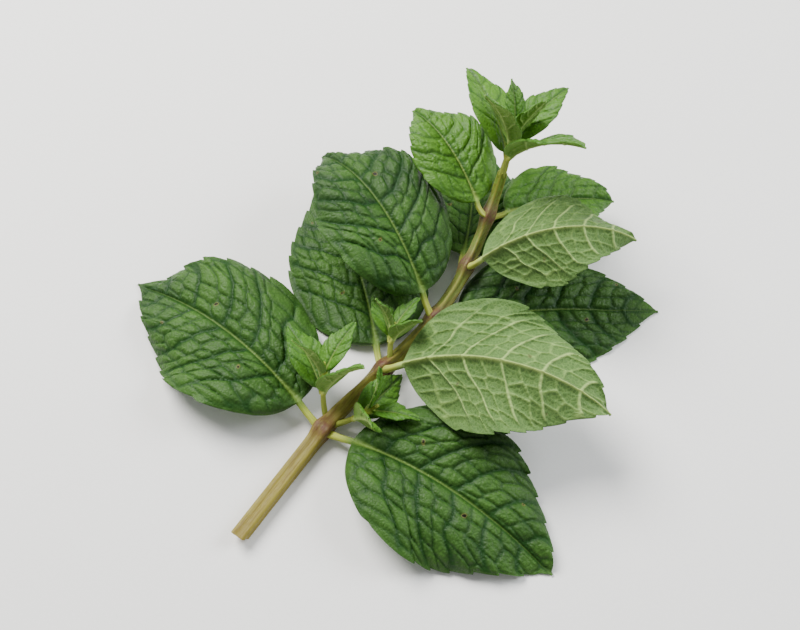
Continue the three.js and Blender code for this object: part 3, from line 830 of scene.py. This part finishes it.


# The finishes of leaves. deep, shade: colour and strength of the painted shade in the blade's hollows. net,
# side,
# rib: how much of their tints the net, the side veins and the midrib take; above, the net's tint and a grown
# leaf's side-vein tint are near-black painted shade in the grooves, and below they are the veins' own paler
# colour. slim: how
# much of a side vein's foot its tint leaves out. specks: strength of the dark spots. shine: the wax's
# reflection. down:
# sheen of fine hairs.
LEAF_LOOKS = {
    # A thin wax gives soft highlights on the cushions, with a painted highlight on their tops, over painted
    # shade that is nearly black in the grooves.
    "upper": dict(
        name="waxy upper side of a grown leaf", deep="0d3407", shade=0.72, net=0.85, net_tint_and_groove_shade="0e3407",
        fine_net=0.3, side=0.6, side_tint_and_groove_shade="0c3206", slim=0.0, rib=0.75, rib_tint="6c8738", roughness=0.5,
        shine=0.2, down=0.0, specks=1.0,
    ),
    # Down makes it matt and greyish, with every vein paler than the hollows between them, and a weak painted
    # shade beside the veins, where the cushions are low.
    "under": dict(
        name="downy underside of a grown leaf", deep="34511f", shade=0.2, net=0.85, net_tint_and_groove_shade="88a758",
        fine_net=0.22, side=0.95, side_tint_and_groove_shade="98b265", slim=0.3, rib=0.95, rib_tint="a0b662", roughness=0.66,
        shine=0.25, down=0.06, specks=0.5,
    ),
    # Fresh wax over thin tissue: brighter and yellower, a little glossier, without specks, with painted
    # shade in the hollows and in the net's grooves.
    "young": dict(
        name="waxy upper side of a young leaf", deep="1d470b", shade=0.8, net=0.55, net_tint_and_groove_shade="1f490d",
        fine_net=0.12, side=0.3, side_tint_and_groove_shade="5b8228", slim=0.0, rib=0.7, rib_tint="93a94c", roughness=0.5,
        shine=0.3, down=0.0, specks=0.0,
    ),
    # New down dulls it a little over a bright yellowish green, and its veins are soft and pale, with a weak
    # painted shade beside them.
    "young_under": dict(
        name="downy underside of a young leaf", deep="527a26", shade=0.2, net=0.6, net_tint_and_groove_shade="98b25c",
        fine_net=0.22, side=0.75, side_tint_and_groove_shade="a4be68", slim=0.15, rib=0.85, rib_tint="a9c06b", roughness=0.62,
        shine=0.25, down=0.05, specks=0.0,
    ),
}
STALK_TINT = "a0a943"
MARGIN_TINTING = 0.45
GRAIN_SPREAD = {1: 0.3, 2: 0.7}  # the values that a noise with this much detail runs between

# Specks, with lengths in parts of their spacing.
SPECK_CHOICE = {1: 0.7, 2: 0.72}  # a cell has a speck where its random colour is brighter than this
SPECK_STRETCH = {3: 1.6, 4: 0.6}  # how far distances are drawn out, from the smallest speck to the largest
SPECK_RAGGEDNESS = 0.2
SPECK_RIM = {1: 0.16, 2: 0.21}  # from and to where a tint fades out
SPECK_CORE = {1: 0.14, 2: 0.16}
SPECK_RIM_TINT = "6a6434"
SPECK_CORE_TINT = "14110a"
SPECK_RIM_STRENGTH = 0.7


def leaf_specks(material, in_mm, strength):
    """Shares of the brown rim and the dark core of ragged specks, in a few cells of a wide net."""
    settings = {"voronoi_dimensions": "2D"}
    inputs = {"Vector": in_mm, "Scale": 1 / SPECK_SPACING}
    spots = add_node(material, "ShaderNodeTexVoronoi", settings, inputs).outputs
    inputs = {0: spots["Color"], **SPECK_CHOICE}
    chosen = add_node(material, "ShaderNodeMapRange", SMOOTH_RANGE, inputs).outputs[0]
    draw = add_node(material, "ShaderNodeSeparateColor", {}, {0: spots["Color"]}).outputs[0]
    inputs = {0: draw, **SPECK_STRETCH}
    stretch = add_node(material, "ShaderNodeMapRange", SMOOTH_RANGE, inputs).outputs[0]
    reach = add_node(material, "ShaderNodeMath", MULTIPLY, {0: spots[0], 1: stretch}).outputs[0]
    inputs = {"Vector": in_mm, "Scale": 1 / SPECK_RAGS, "Detail": 2}
    ragged = add_node(material, "ShaderNodeTexNoise", {}, inputs).outputs[0]
    settings = {"operation": "MULTIPLY_ADD"}
    inputs = {0: ragged, 1: SPECK_RAGGEDNESS, 2: reach}
    distance = add_node(material, "ShaderNodeMath", settings, inputs).outputs[0]
    shares = []
    for fade, most in ((SPECK_RIM, SPECK_RIM_STRENGTH * strength), (SPECK_CORE, strength)):
        inputs = {0: distance, **fade, 3: most, 4: 0}
        near = add_node(material, "ShaderNodeMapRange", SMOOTH_RANGE, inputs).outputs[0]
        shares.append(add_node(material, "ShaderNodeMath", MULTIPLY, {0: near, 1: chosen}).outputs[0])
    return shares


def leaf_material(look, dark, light):
    """Living leaf: patchy green, with a painted highlight on the cushions and painted shade in the hollows
    between them, with its veins, grain and a few dark specks.
    """
    material = new_material(look["name"])
    uv = add_node(material, "ShaderNodeUVMap", {"uv_map": "leaf"}, {}).outputs[0]
    in_mm = add_node(material, "ShaderNodeVectorMath", MULTIPLY, {0: uv, 1: (UV_SIZE,) * 3}).outputs[0]
    inputs = {"Vector": in_mm, "Scale": 1 / LEAF_GRAIN, "Detail": 5, "Roughness": 0.62}
    grain = add_node(material, "ShaderNodeTexNoise", {}, inputs).outputs[0]
    settings = {"feature": "DISTANCE_TO_EDGE"}
    inputs = {"Vector": in_mm, "Scale": 1 / LEAF_AREOLES}
    cells = add_node(material, "ShaderNodeTexVoronoi", settings, inputs).outputs[0]
    inputs = {0: cells, 1: 0, 2: 0.1, 3: look["fine_net"], 4: 0}
    fine_net = add_node(material, "ShaderNodeMapRange", SMOOTH_RANGE, inputs).outputs[0]
    inputs = {0: grain, **GRAIN_SPREAD, 3: 0.84, 4: 1.12}
    shading = add_node(material, "ShaderNodeMapRange", SMOOTH_RANGE, inputs).outputs[0]
    rim, core = leaf_specks(material, in_mm, look["specks"])

    base = tinted(material, dark, (
        (share_of(material, "patch"), light),
        # Painted highlight: the cushions' tops take the lighter green, by their height.
        (share_of(material, "dome", 0.35, 0.55, 1.0, "SMOOTHSTEP"), light),
        # Painted shade: where the cushions are low, in the grooves between them, the deep colour is laid
        # over.
        (share_of(material, "dome", look["shade"], 0.5, 0.04, "SMOOTHSTEP"), look["deep"]),
    ))
    base = add_node(material, "ShaderNodeMix", DARKEN, {0: 1, 6: base, 7: shading}).outputs[2]
    base = tinted(material, base, (
        # Above, the fine net's and the net's tints, and a grown leaf's side-vein tint, are near-black
        # painted shade in the grooves; below they are the veins' own paler colour.
        (fine_net, look["net_tint_and_groove_shade"]),
        (share_of(material, "net", look["net"]), look["net_tint_and_groove_shade"]),
        (share_of(material, "side_vein", look["side"], look["slim"]), look["side_tint_and_groove_shade"]),
        (share_of(material, "margin", MARGIN_TINTING), light),
        (rim, SPECK_RIM_TINT),
        (core, SPECK_CORE_TINT),
        (share_of(material, "midrib", look["rib"]), look["rib_tint"]),
        (share_of(material, "stalk"), STALK_TINT),
    ))
    gloss = look["roughness"]
    inputs = {0: grain, **GRAIN_SPREAD, 3: gloss - 0.06, 4: gloss + 0.1}
    rough = add_node(material, "ShaderNodeMapRange", SMOOTH_RANGE, inputs).outputs[0]
    inputs = {"Strength": 0.7, "Distance": 0.0003, "Height": cells}
    coarse = add_node(material, "ShaderNodeBump", {}, inputs).outputs[0]
    inputs = {"Strength": 0.5, "Distance": 0.00015, "Height": grain, "Normal": coarse}
    normal = add_node(material, "ShaderNodeBump", {}, inputs).outputs[0]
    constants = {"Sheen Weight": look["down"], "Sheen Roughness": 0.5, "Specular IOR Level": look["shine"]}
    return finish_material(material, base, rough, normal, constants)


def stem_material(low, high, blush_tint):
    """Fresh square stem: straw and green streaks along it, with a purple-brown blush at the nodes."""
    # A thin skin over long fibres breaks its soft highlights into streaks.
    material = new_material("fresh ribbed stem")
    own = add_node(material, "ShaderNodeTexCoord", {}, {}).outputs["Object"]
    counts = [1 / (size * MM) for size in (STREAK_WIDTH, STREAK_LENGTH, STREAK_WIDTH)]
    stretched = add_node(material, "ShaderNodeVectorMath", MULTIPLY, {0: own, 1: counts}).outputs[0]
    inputs = {"Vector": stretched, "Scale": 1, "Detail": 4, "Roughness": 0.6}
    streaks = add_node(material, "ShaderNodeTexNoise", {}, inputs).outputs[0]
    inputs = {"Vector": own, "Scale": 1 / (STEM_GRAIN * MM), "Detail": 5, "Roughness": 0.65}
    grain = add_node(material, "ShaderNodeTexNoise", {}, inputs).outputs[0]
    inputs = {0: streaks, 1: 0.42, 2: 0.62, 3: 0, 4: 0.55}
    streaked = add_node(material, "ShaderNodeMapRange", SMOOTH_RANGE, inputs).outputs[0]
    inputs = {0: grain, 1: 0.3, 2: 0.6, 3: 0.5, 4: 1}
    mottled = add_node(material, "ShaderNodeMapRange", SMOOTH_RANGE, inputs).outputs[0]
    inputs = {0: share_of(material, "blush"), 1: mottled}
    blush = add_node(material, "ShaderNodeMath", MULTIPLY, inputs).outputs[0]
    base = tinted(material, low, (
        (share_of(material, "place"), high),
        (streaked, "60491a"),
        (share_of(material, "corner", 0.35, 0.4, 1, "SMOOTHSTEP"), "938a38"),
        (blush, blush_tint),
    ))
    inputs = {0: grain, **GRAIN_SPREAD, 3: 0.44, 4: 0.6}
    rough = add_node(material, "ShaderNodeMapRange", SMOOTH_RANGE, inputs).outputs[0]
    inputs = {"Strength": 0.6, "Distance": 0.0003, "Height": streaks}
    coarse = add_node(material, "ShaderNodeBump", {}, inputs).outputs[0]
    inputs = {"Strength": 0.4, "Distance": 0.00015, "Height": grain, "Normal": coarse}
    normal = add_node(material, "ShaderNodeBump", {}, inputs).outputs[0]
    return finish_material(material, base, rough, normal, {"Specular IOR Level": 0.3})


def pith_material():
    """Moist cut end: tan spongy pith with brown specks inside a pale ring, and the straw skin round it."""
    # Wet walls of open cells glint a little between dull hollows.
    material = new_material("moist cut pith")
    own = add_node(material, "ShaderNodeTexCoord", {}, {}).outputs["Object"]
    inputs = {"Vector": own, "Scale": 1 / (PITH_CELLS * MM)}
    cells = add_node(material, "ShaderNodeTexVoronoi", {}, inputs).outputs[0]
    inputs = {"Vector": own, "Scale": 1 / (PITH_STAINS * MM), "Detail": 3}
    stains = add_node(material, "ShaderNodeTexNoise", {}, inputs).outputs[0]
    inputs = {0: cells, 1: 0.2, 2: 0.8, 3: 0, 4: 0.3}
    hollow = add_node(material, "ShaderNodeMapRange", SMOOTH_RANGE, inputs).outputs[0]
    inputs = {0: stains, 1: 0.56, 2: 0.64, 3: 0, 4: 0.8}
    stained = add_node(material, "ShaderNodeMapRange", SMOOTH_RANGE, inputs).outputs[0]
    base = tinted(material, colour("9c7f42"), (
        (share_of(material, "ring", 1, 0.45, 0.7, "SMOOTHSTEP"), "b39f5e"),
        (share_of(material, "ring", 0.8, 0.82, 0.98, "SMOOTHSTEP"), "7f7430"),
        (hollow, "8a6d38"),
        (stained, "54391a"),
    ))
    rough = add_node(material, "ShaderNodeMapRange", SMOOTH_RANGE, {0: cells, 3: 0.5, 4: 0.7}).outputs[0]
    inputs = {"Strength": 0.6, "Distance": 0.0002, "Height": cells}
    normal = add_node(material, "ShaderNodeBump", {}, inputs).outputs[0]
    return finish_material(material, base, rough, normal, {})


def paper_material():
    """Matt white paper: faintly mottled, with soft shadows and no highlight of its own."""
    material = new_material("matt white paper sweep")
    own = add_node(material, "ShaderNodeTexCoord", {}, {}).outputs["Object"]
    inputs = {"Vector": own, "Scale": 1 / (PAPER_GRAIN * MM), "Detail": 3}
    grain = add_node(material, "ShaderNodeTexNoise", {}, inputs).outputs[0]
    base = tinted(material, colour("ecebe8"), ((grain, "f3f2f0"),))
    rough = add_node(material, "ShaderNodeMapRange", SMOOTH_RANGE, {0: grain, 3: 0.75, 4: 0.9}).outputs[0]
    inputs = {"Strength": 0.08, "Distance": 0.0002, "Height": grain}
    normal = add_node(material, "ShaderNodeBump", {}, inputs).outputs[0]
    return finish_material(material, base, rough, normal, {})


def make_finishes(stem, leaves):
    """Fills the finishes of the sprig, kept by short names."""
    for key, look in LEAF_LOOKS.items():
        MATERIALS[key] = leaf_material(look, getattr(leaves, key + "_dark"), getattr(leaves, key + "_light"))
    MATERIALS["stem"] = stem_material(stem.low, stem.high, stem.blush)
    MATERIALS["pith"] = pith_material()


# ---- Pieces ----


def build_stem(context, settings):
    mesh = tube_mesh("stem_fine", settings.sides, settings.rings)
    tube = read_points(mesh)
    angle = np.arctan2(tube[:, 1], tube[:, 0])
    reach = np.hypot(tube[:, 0], tube[:, 1])
    y = tube[:, 2] * STEM_LENGTH
    centre, _, right, top = stem_frame(y)
    half = stem_half(y)
    power = STEM_SQUARENESS
    square = (np.abs(np.cos(angle)) ** power + np.abs(np.sin(angle)) ** power) ** (-1 / power)
    from_face = np.abs((angle + math.pi / 4) % (math.pi / 2) - math.pi / 4)
    groove = settings.groove * line(from_face, GROOVE_HALF)
    ribs = RIB_HEIGHT * np.cos(angle * STEM_RIBS + RIB_DRIFT * y)
    radius = reach * (half * square - (groove - ribs) * np.minimum(1, reach))
    points = centre - right * (radius * np.cos(angle))[:, None] + top * (radius * np.sin(angle))[:, None]
    at_cut = tube[:, 2] < TINY
    points[:, 1] -= np.where(at_cut, CUT_SLANT * radius * np.sin(angle), 0)
    points[:, 1] += np.where(at_cut, PITH_SAG * np.maximum(0, 1 - reach) ** PITH_SAG_CURVE, 0)
    points[:, 2] = np.maximum(points[:, 2], 0)
    write_points(mesh, points * MM)
    place_mesh(mesh, np.zeros(3))
    blush = BLUSH_STRENGTH * sum(line(y - place, NODE_REACH * BLUSH_REACH) for place in NODE_PLACES)
    blush += BLUSH_PATCHES * soft_noise(angle * BLUSH_PATCH_TURN, y, BLUSH_PATCH_SIZE, BLUSH_SEED)
    write_values(mesh, "place", smooth(y, GREENING_START, STEM_LENGTH))
    write_values(mesh, "blush", np.clip(blush, 0, 1))
    write_values(mesh, "corner", smooth(square, *CORNER_BEND))
    write_values(mesh, "ring", reach)
    shade_smooth(mesh, STEM_SHARP_ANGLE)
    add_piece(context, "stem", mesh, ("stem", "pith"))


def build_leaf(context, name, settings):
    leaf = dict(zip(LEAF_KEYS, LEAVES[name]))
    y = NODE_PLACES[leaf["node"]]
    start, outward = growth_point(y, leaf["around"], leaf["heading"], leaf["pitch"][0], PETIOLE_HALF)
    turn = Matrix.Rotation(-math.radians(leaf["heading"]), 4, "Z")
    foot = foot_move(turn, outward)
    share = lerp(LEAST_COLUMNS, 1, leaf["length"] / LARGEST_LEAF)
    columns, rows = round(settings.columns * share), round(settings.rows * share)
    is_young = leaf["length"] < MIDDLING_LENGTH
    plan = MIDDLING if leaf["length"] <= MIDDLING_LENGTH else GROWN
    seed = LEAF_SEED + 10 * list(LEAVES).index(name)
    mesh = leaf_mesh(name + "_fine", leaf, columns, rows, plan, seed, foot, -start[2])
    place_mesh(mesh, start, turn)
    add_piece(context, name, mesh, ("young", "young_under") if is_young else ("upper", "under"))


def spray_stem(name, length, radius, foot):
    """The short stem of a spray, along +Y at the origin, with its foot bent over into what it grows from."""
    mesh = tube_mesh(name + "_stem", SPRAY_STEM_SIDES, SPRAY_STEM_RINGS)
    tube = read_points(mesh)
    angle = np.arctan2(tube[:, 1], tube[:, 0])
    width = np.hypot(tube[:, 0], tube[:, 1]) * radius * lerp(1, SPRAY_TAPER, tube[:, 2])
    along = lerp(-SPRAY_PETIOLE, length, tube[:, 2])
    points = np.stack([width * np.cos(angle), along, -width * np.sin(angle)], axis=-1)
    write_points(mesh, (points + (1 - tube[:, 2:]) ** SHOOT_FOOT_CURVE * foot) * MM)
    for key, value in SPRAY_STEM_VALUES.items():
        write_values(mesh, key, np.full(len(tube), value))
    mesh.uv_layers.new(name="leaf")
    mesh.polygons.foreach_set("use_smooth", np.ones(len(mesh.polygons), bool))
    return mesh


def spray_mesh(name, length, leaf_length, spin, spread, radius, pairs, settings, seed, foot):
    """A short stem along +Y with opposite pairs of small leaves, at the origin."""
    meshes = [spray_stem(name, length, radius, foot)]
    for order, (place, size, pitch) in enumerate(SPRAY_PAIRS[:pairs]):
        small = leaf_length * size
        share = lerp(SPRAY_LEAF_COLUMNS, 1, small / CROWN_LEAF)
        columns, rows = round(settings.small_columns * share), round(settings.small_rows * share)
        for side in (0, 180):
            leaf = {
                **SPRAY_LEAF_POSE, "petiole": SPRAY_PETIOLE, "length": small, "phase": order + side,
                "width": small * SPRAY_LEAF_SHAPE, "pitch": tuple(angle * spread for angle in pitch),
            }
            mesh = leaf_mesh(name + "_leaf", leaf, columns, rows, SMALL, seed + order * 2 + side)
            turn = Matrix.Rotation(math.radians(spin + 90 * order + side), 4, "Y")
            move = Matrix.Translation(Vector((0, place * length, radius * SPRAY_LEAF_START)) * MM)
            mesh.transform(turn @ move)
            meshes.append(mesh)
    return gathered(name, meshes)


def lying(heading, pitch):
    """A turn from +Y to a heading and a pitch in radians."""
    return Matrix.Rotation(-heading, 4, "Z") @ Matrix.Rotation(pitch, 4, "X")


def build_shoot(context, name, settings):
    node, around, heading, pitch, spin, length, leaf_length = SHOOTS[name]
    start, outward = growth_point(NODE_PLACES[node] + SHOOT_OFFSET, around, heading, pitch, SHOOT_FOOT)
    turn = lying(math.radians(heading), math.radians(pitch))
    foot = foot_move(turn, outward)
    seed = SHOOT_SEED + 10 * list(SHOOTS).index(name)
    mesh = spray_mesh(
        name + "_fine", length, leaf_length, spin, 1, SHOOT_RADIUS, SHOOT_PAIRS, settings, seed, foot
    )
    place_mesh(mesh, start, turn)
    add_piece(context, name, mesh, ("young", "young_under"))


def build_crown(context, settings):
    centre, along, _, _ = stem_frame(STEM_LENGTH)
    mesh = spray_mesh(
        "tip_crown_fine", CROWN_LENGTH, CROWN_LEAF, CROWN_SPIN, CROWN_SPREAD, STEM_TIP_HALF, CROWN_PAIRS,
        settings, CROWN_SEED, np.zeros(3),
    )
    place_mesh(mesh, centre + along * CLEARANCE, lying(math.atan2(along[0], along[1]), math.asin(along[2])))
    add_piece(context, "tip_crown", mesh, ("young", "young_under"))


# ---- Studio, in metres ----

FLOOR_HALF = 3
FLOOR_DROP = 0.0002
SKY_TINT = (0.97, 0.985, 1.0, 1)
# Each light: its place to the right, ahead and up from the sprig, its size, part of the power and tint.
LIGHTS = {
    "key_light": ((-0.28, 0.32, 0.5), 0.45, 1, (1.0, 0.99, 0.96)),
    "side_light": ((0.5, 0.1, 0.35), 0.35, 0.35, (0.93, 0.97, 1.0)),
}
SENSOR_WIDTH = 36
CLIP_START = 0.01


def aimed(place, target):
    """A turn that points -Z from a place at a target."""
    return (Vector(target) - Vector(place)).to_track_quat("-Z", "Y").to_euler()


def add_area_light(context, name, place, target, size, power, tint):
    light = bpy.data.lights.new(name, "AREA")
    light.shape = "DISK"
    light.size = size
    light.energy = power
    light.color = tint
    lamp = bpy.data.objects.new(name, light)
    lamp.location = place
    lamp.rotation_euler = aimed(place, target)
    context.scene.collection.objects.link(lamp)


def add_floor(context):
    bm = bmesh.new()
    bmesh.ops.create_grid(bm, x_segments=1, y_segments=1, size=FLOOR_HALF)
    mesh = finished_mesh("floor", bm)
    mesh.materials.append(paper_material())
    floor = bpy.data.objects.new("floor", mesh)
    floor.location.z = -FLOOR_DROP
    context.scene.collection.objects.link(floor)
    floor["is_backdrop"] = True


def add_sky(context, strength):
    world = bpy.data.worlds.new("soft studio")
    world.use_nodes = True
    background = world.node_tree.nodes["Background"]
    background.inputs["Color"].default_value = SKY_TINT
    background.inputs["Strength"].default_value = strength
    context.scene.world = world


def add_camera(context, settings, middle, ahead):
    data = bpy.data.cameras.new("camera")
    data.lens = settings.lens
    data.sensor_width = SENSOR_WIDTH
    data.clip_start = CLIP_START
    camera = bpy.data.objects.new("camera", data)
    away = -ahead * math.cos(settings.elevation) + Vector((0, 0, math.sin(settings.elevation)))
    target = middle + Vector((settings.aim_x, settings.aim_y, 0))
    camera.location = target + away * settings.distance
    camera.rotation_euler = aimed(camera.location, target)
    context.scene.collection.objects.link(camera)
    context.scene.camera = camera


def build_studio(context, settings):
    low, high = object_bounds()
    middle = (Vector(low) + Vector(high)) / 2
    turn = settings.azimuth
    ahead = Vector((-math.sin(turn), math.cos(turn), 0))
    right = Vector((math.cos(turn), math.sin(turn), 0))
    add_floor(context)
    add_sky(context, settings.fill)
    for name, ((to_right, forward, up), size, part, tint) in LIGHTS.items():
        place = middle + right * to_right + ahead * forward + Vector((0, 0, up))
        add_area_light(context, name, place, middle, size, settings.key_power * part, tint)
    add_camera(context, settings, middle, ahead)


# ---- Settings, operators and panel ----


def colour_property(name, description, code):
    return FloatVectorProperty(
        name=name, description=description, subtype="COLOR", size=4, min=0, max=1, default=colour(code)
    )


class MINT_PG_stem(bpy.types.PropertyGroup):
    sides: IntProperty(name="Sides", description="Corners round the stem", default=64, min=12)
    rings: IntProperty(name="Rings", description="Rings along the stem", default=200, min=8)
    groove: FloatProperty(
        name="Groove", description="Depth of the groove on each side, in mm", default=0.16, min=0
    )
    low: colour_property("Cut end", "Colour of the stem near its cut end", "7c7023")
    high: colour_property("Tip", "Colour of the stem near its tip", "627c28")
    blush: colour_property("Blush", "Colour of the blush round the nodes", "56282a")


class MINT_PG_leaves(bpy.types.PropertyGroup):
    columns: IntProperty(name="Columns", description="Columns across the largest leaf", default=116, min=8)
    rows: IntProperty(name="Rows", description="Rows along the largest leaf", default=206, min=16)
    small_columns: IntProperty(
        name="Small columns", description="Columns across a crown leaf", default=40, min=6
    )
    small_rows: IntProperty(name="Small rows", description="Rows along a crown leaf", default=72, min=12)
    upper_dark: colour_property("Upper, dark", "Darker green of a grown leaf's upper side", "1f3b12")
    upper_light: colour_property("Upper, light", "Lighter green of a grown leaf's upper side", "406523")
    under_dark: colour_property("Under, dark", "Darker green of a grown leaf's underside", "3f5f28")
    under_light: colour_property("Under, light", "Lighter green of a grown leaf's underside", "557439")
    young_dark: colour_property("Young, dark", "Darker green of a young leaf's upper side", "355f14")
    young_light: colour_property("Young, light", "Lighter green of a young leaf's upper side", "527f20")
    young_under_dark: colour_property("Young under, dark", "Darker green of a young underside", "5c842c")
    young_under_light: colour_property("Young under, light", "Lighter green of a young underside", "789e42")


class MINT_PG_studio(bpy.types.PropertyGroup):
    azimuth: FloatProperty(
        name="Azimuth", description="How far the camera stands to the right", default=math.radians(35),
        subtype="ANGLE",
    )
    elevation: FloatProperty(
        name="Elevation", description="How far the camera looks down", default=math.radians(62),
        subtype="ANGLE",
    )
    distance: FloatProperty(name="Distance", description="Camera to sprig", default=0.27, unit="LENGTH")
    lens: FloatProperty(name="Lens", description="Focal length in mm", default=52)
    aim_x: FloatProperty(name="Aim X", description="Aim right of the middle", default=0.004, unit="LENGTH")
    aim_y: FloatProperty(name="Aim Y", description="Aim beyond the middle", default=-0.006, unit="LENGTH")
    fill: FloatProperty(name="Fill", description="Strength of the light from all round", default=0.42)
    key_power: FloatProperty(
        name="Key power", description="Power of the main light", default=11, unit="POWER"
    )


class MINT_OT_finishes(bpy.types.Operator):
    """Makes the finishes of the leaves, the stem and its cut end"""

    bl_idname = "mint.finishes"
    bl_label = "Make finishes"

    def execute(self, context):
        make_finishes(context.scene.mint_stem, context.scene.mint_leaves)
        return {"FINISHED"}


class MINT_OT_stem(bpy.types.Operator):
    """Adds the fine grooved stem"""

    bl_idname = "mint.stem"
    bl_label = "Add stem"

    def execute(self, context):
        build_stem(context, context.scene.mint_stem)
        return {"FINISHED"}


class MINT_OT_leaf(bpy.types.Operator):
    """Adds one fine leaf of the main stem"""

    bl_idname = "mint.leaf"
    bl_label = "Add leaf"
    leaf: StringProperty(name="Leaf", description="Name of the leaf", default="leaf_1_right")

    def execute(self, context):
        build_leaf(context, self.leaf, context.scene.mint_leaves)
        return {"FINISHED"}


class MINT_OT_shoot(bpy.types.Operator):
    """Adds one side shoot with its small leaves"""

    bl_idname = "mint.shoot"
    bl_label = "Add side shoot"
    shoot: StringProperty(name="Shoot", description="Name of the shoot", default="side_shoot_1_right")

    def execute(self, context):
        build_shoot(context, self.shoot, context.scene.mint_leaves)
        return {"FINISHED"}


class MINT_OT_crown(bpy.types.Operator):
    """Adds the crown of young leaves at the tip"""

    bl_idname = "mint.crown"
    bl_label = "Add tip crown"

    def execute(self, context):
        build_crown(context, context.scene.mint_leaves)
        return {"FINISHED"}


class MINT_OT_studio(bpy.types.Operator):
    """Adds the floor, the lights and the camera"""

    bl_idname = "mint.studio"
    bl_label = "Add studio"

    def execute(self, context):
        build_studio(context, context.scene.mint_studio)
        return {"FINISHED"}


class MINT_PT_panel(bpy.types.Panel):
    """Lists the operators in their order, and the sizes and colours that they use"""

    bl_label = "Mint sprig"
    bl_idname = "MINT_PT_panel"
    bl_space_type = "VIEW_3D"
    bl_region_type = "UI"
    bl_category = "Mint sprig"

    def draw(self, context):
        column = self.layout.column()
        for operator in ("finishes", "stem", "leaf", "shoot", "crown", "studio"):
            column.operator("mint." + operator)
        for group in (context.scene.mint_stem, context.scene.mint_leaves, context.scene.mint_studio):
            for name in group.__annotations__:
                column.prop(group, name)


CLASSES = (
    MINT_PG_stem,
    MINT_PG_leaves,
    MINT_PG_studio,
    MINT_OT_finishes,
    MINT_OT_stem,
    MINT_OT_leaf,
    MINT_OT_shoot,
    MINT_OT_crown,
    MINT_OT_studio,
    MINT_PT_panel,
)


def register():
    for item in CLASSES:
        bpy.utils.register_class(item)
    bpy.types.Scene.mint_stem = PointerProperty(type=MINT_PG_stem)
    bpy.types.Scene.mint_leaves = PointerProperty(type=MINT_PG_leaves)
    bpy.types.Scene.mint_studio = PointerProperty(type=MINT_PG_studio)


def unregister():
    del bpy.types.Scene.mint_stem
    del bpy.types.Scene.mint_leaves
    del bpy.types.Scene.mint_studio
    for item in reversed(CLASSES):
        bpy.utils.unregister_class(item)


def main():
    register()
    bpy.ops.mint.finishes()
    bpy.ops.mint.stem()
    for name in LEAVES:
        bpy.ops.mint.leaf(leaf=name)
    for name in SHOOTS:
        bpy.ops.mint.shoot(shoot=name)
    bpy.ops.mint.crown()
    bpy.ops.mint.studio()


if __name__ == "__main__":
    main()
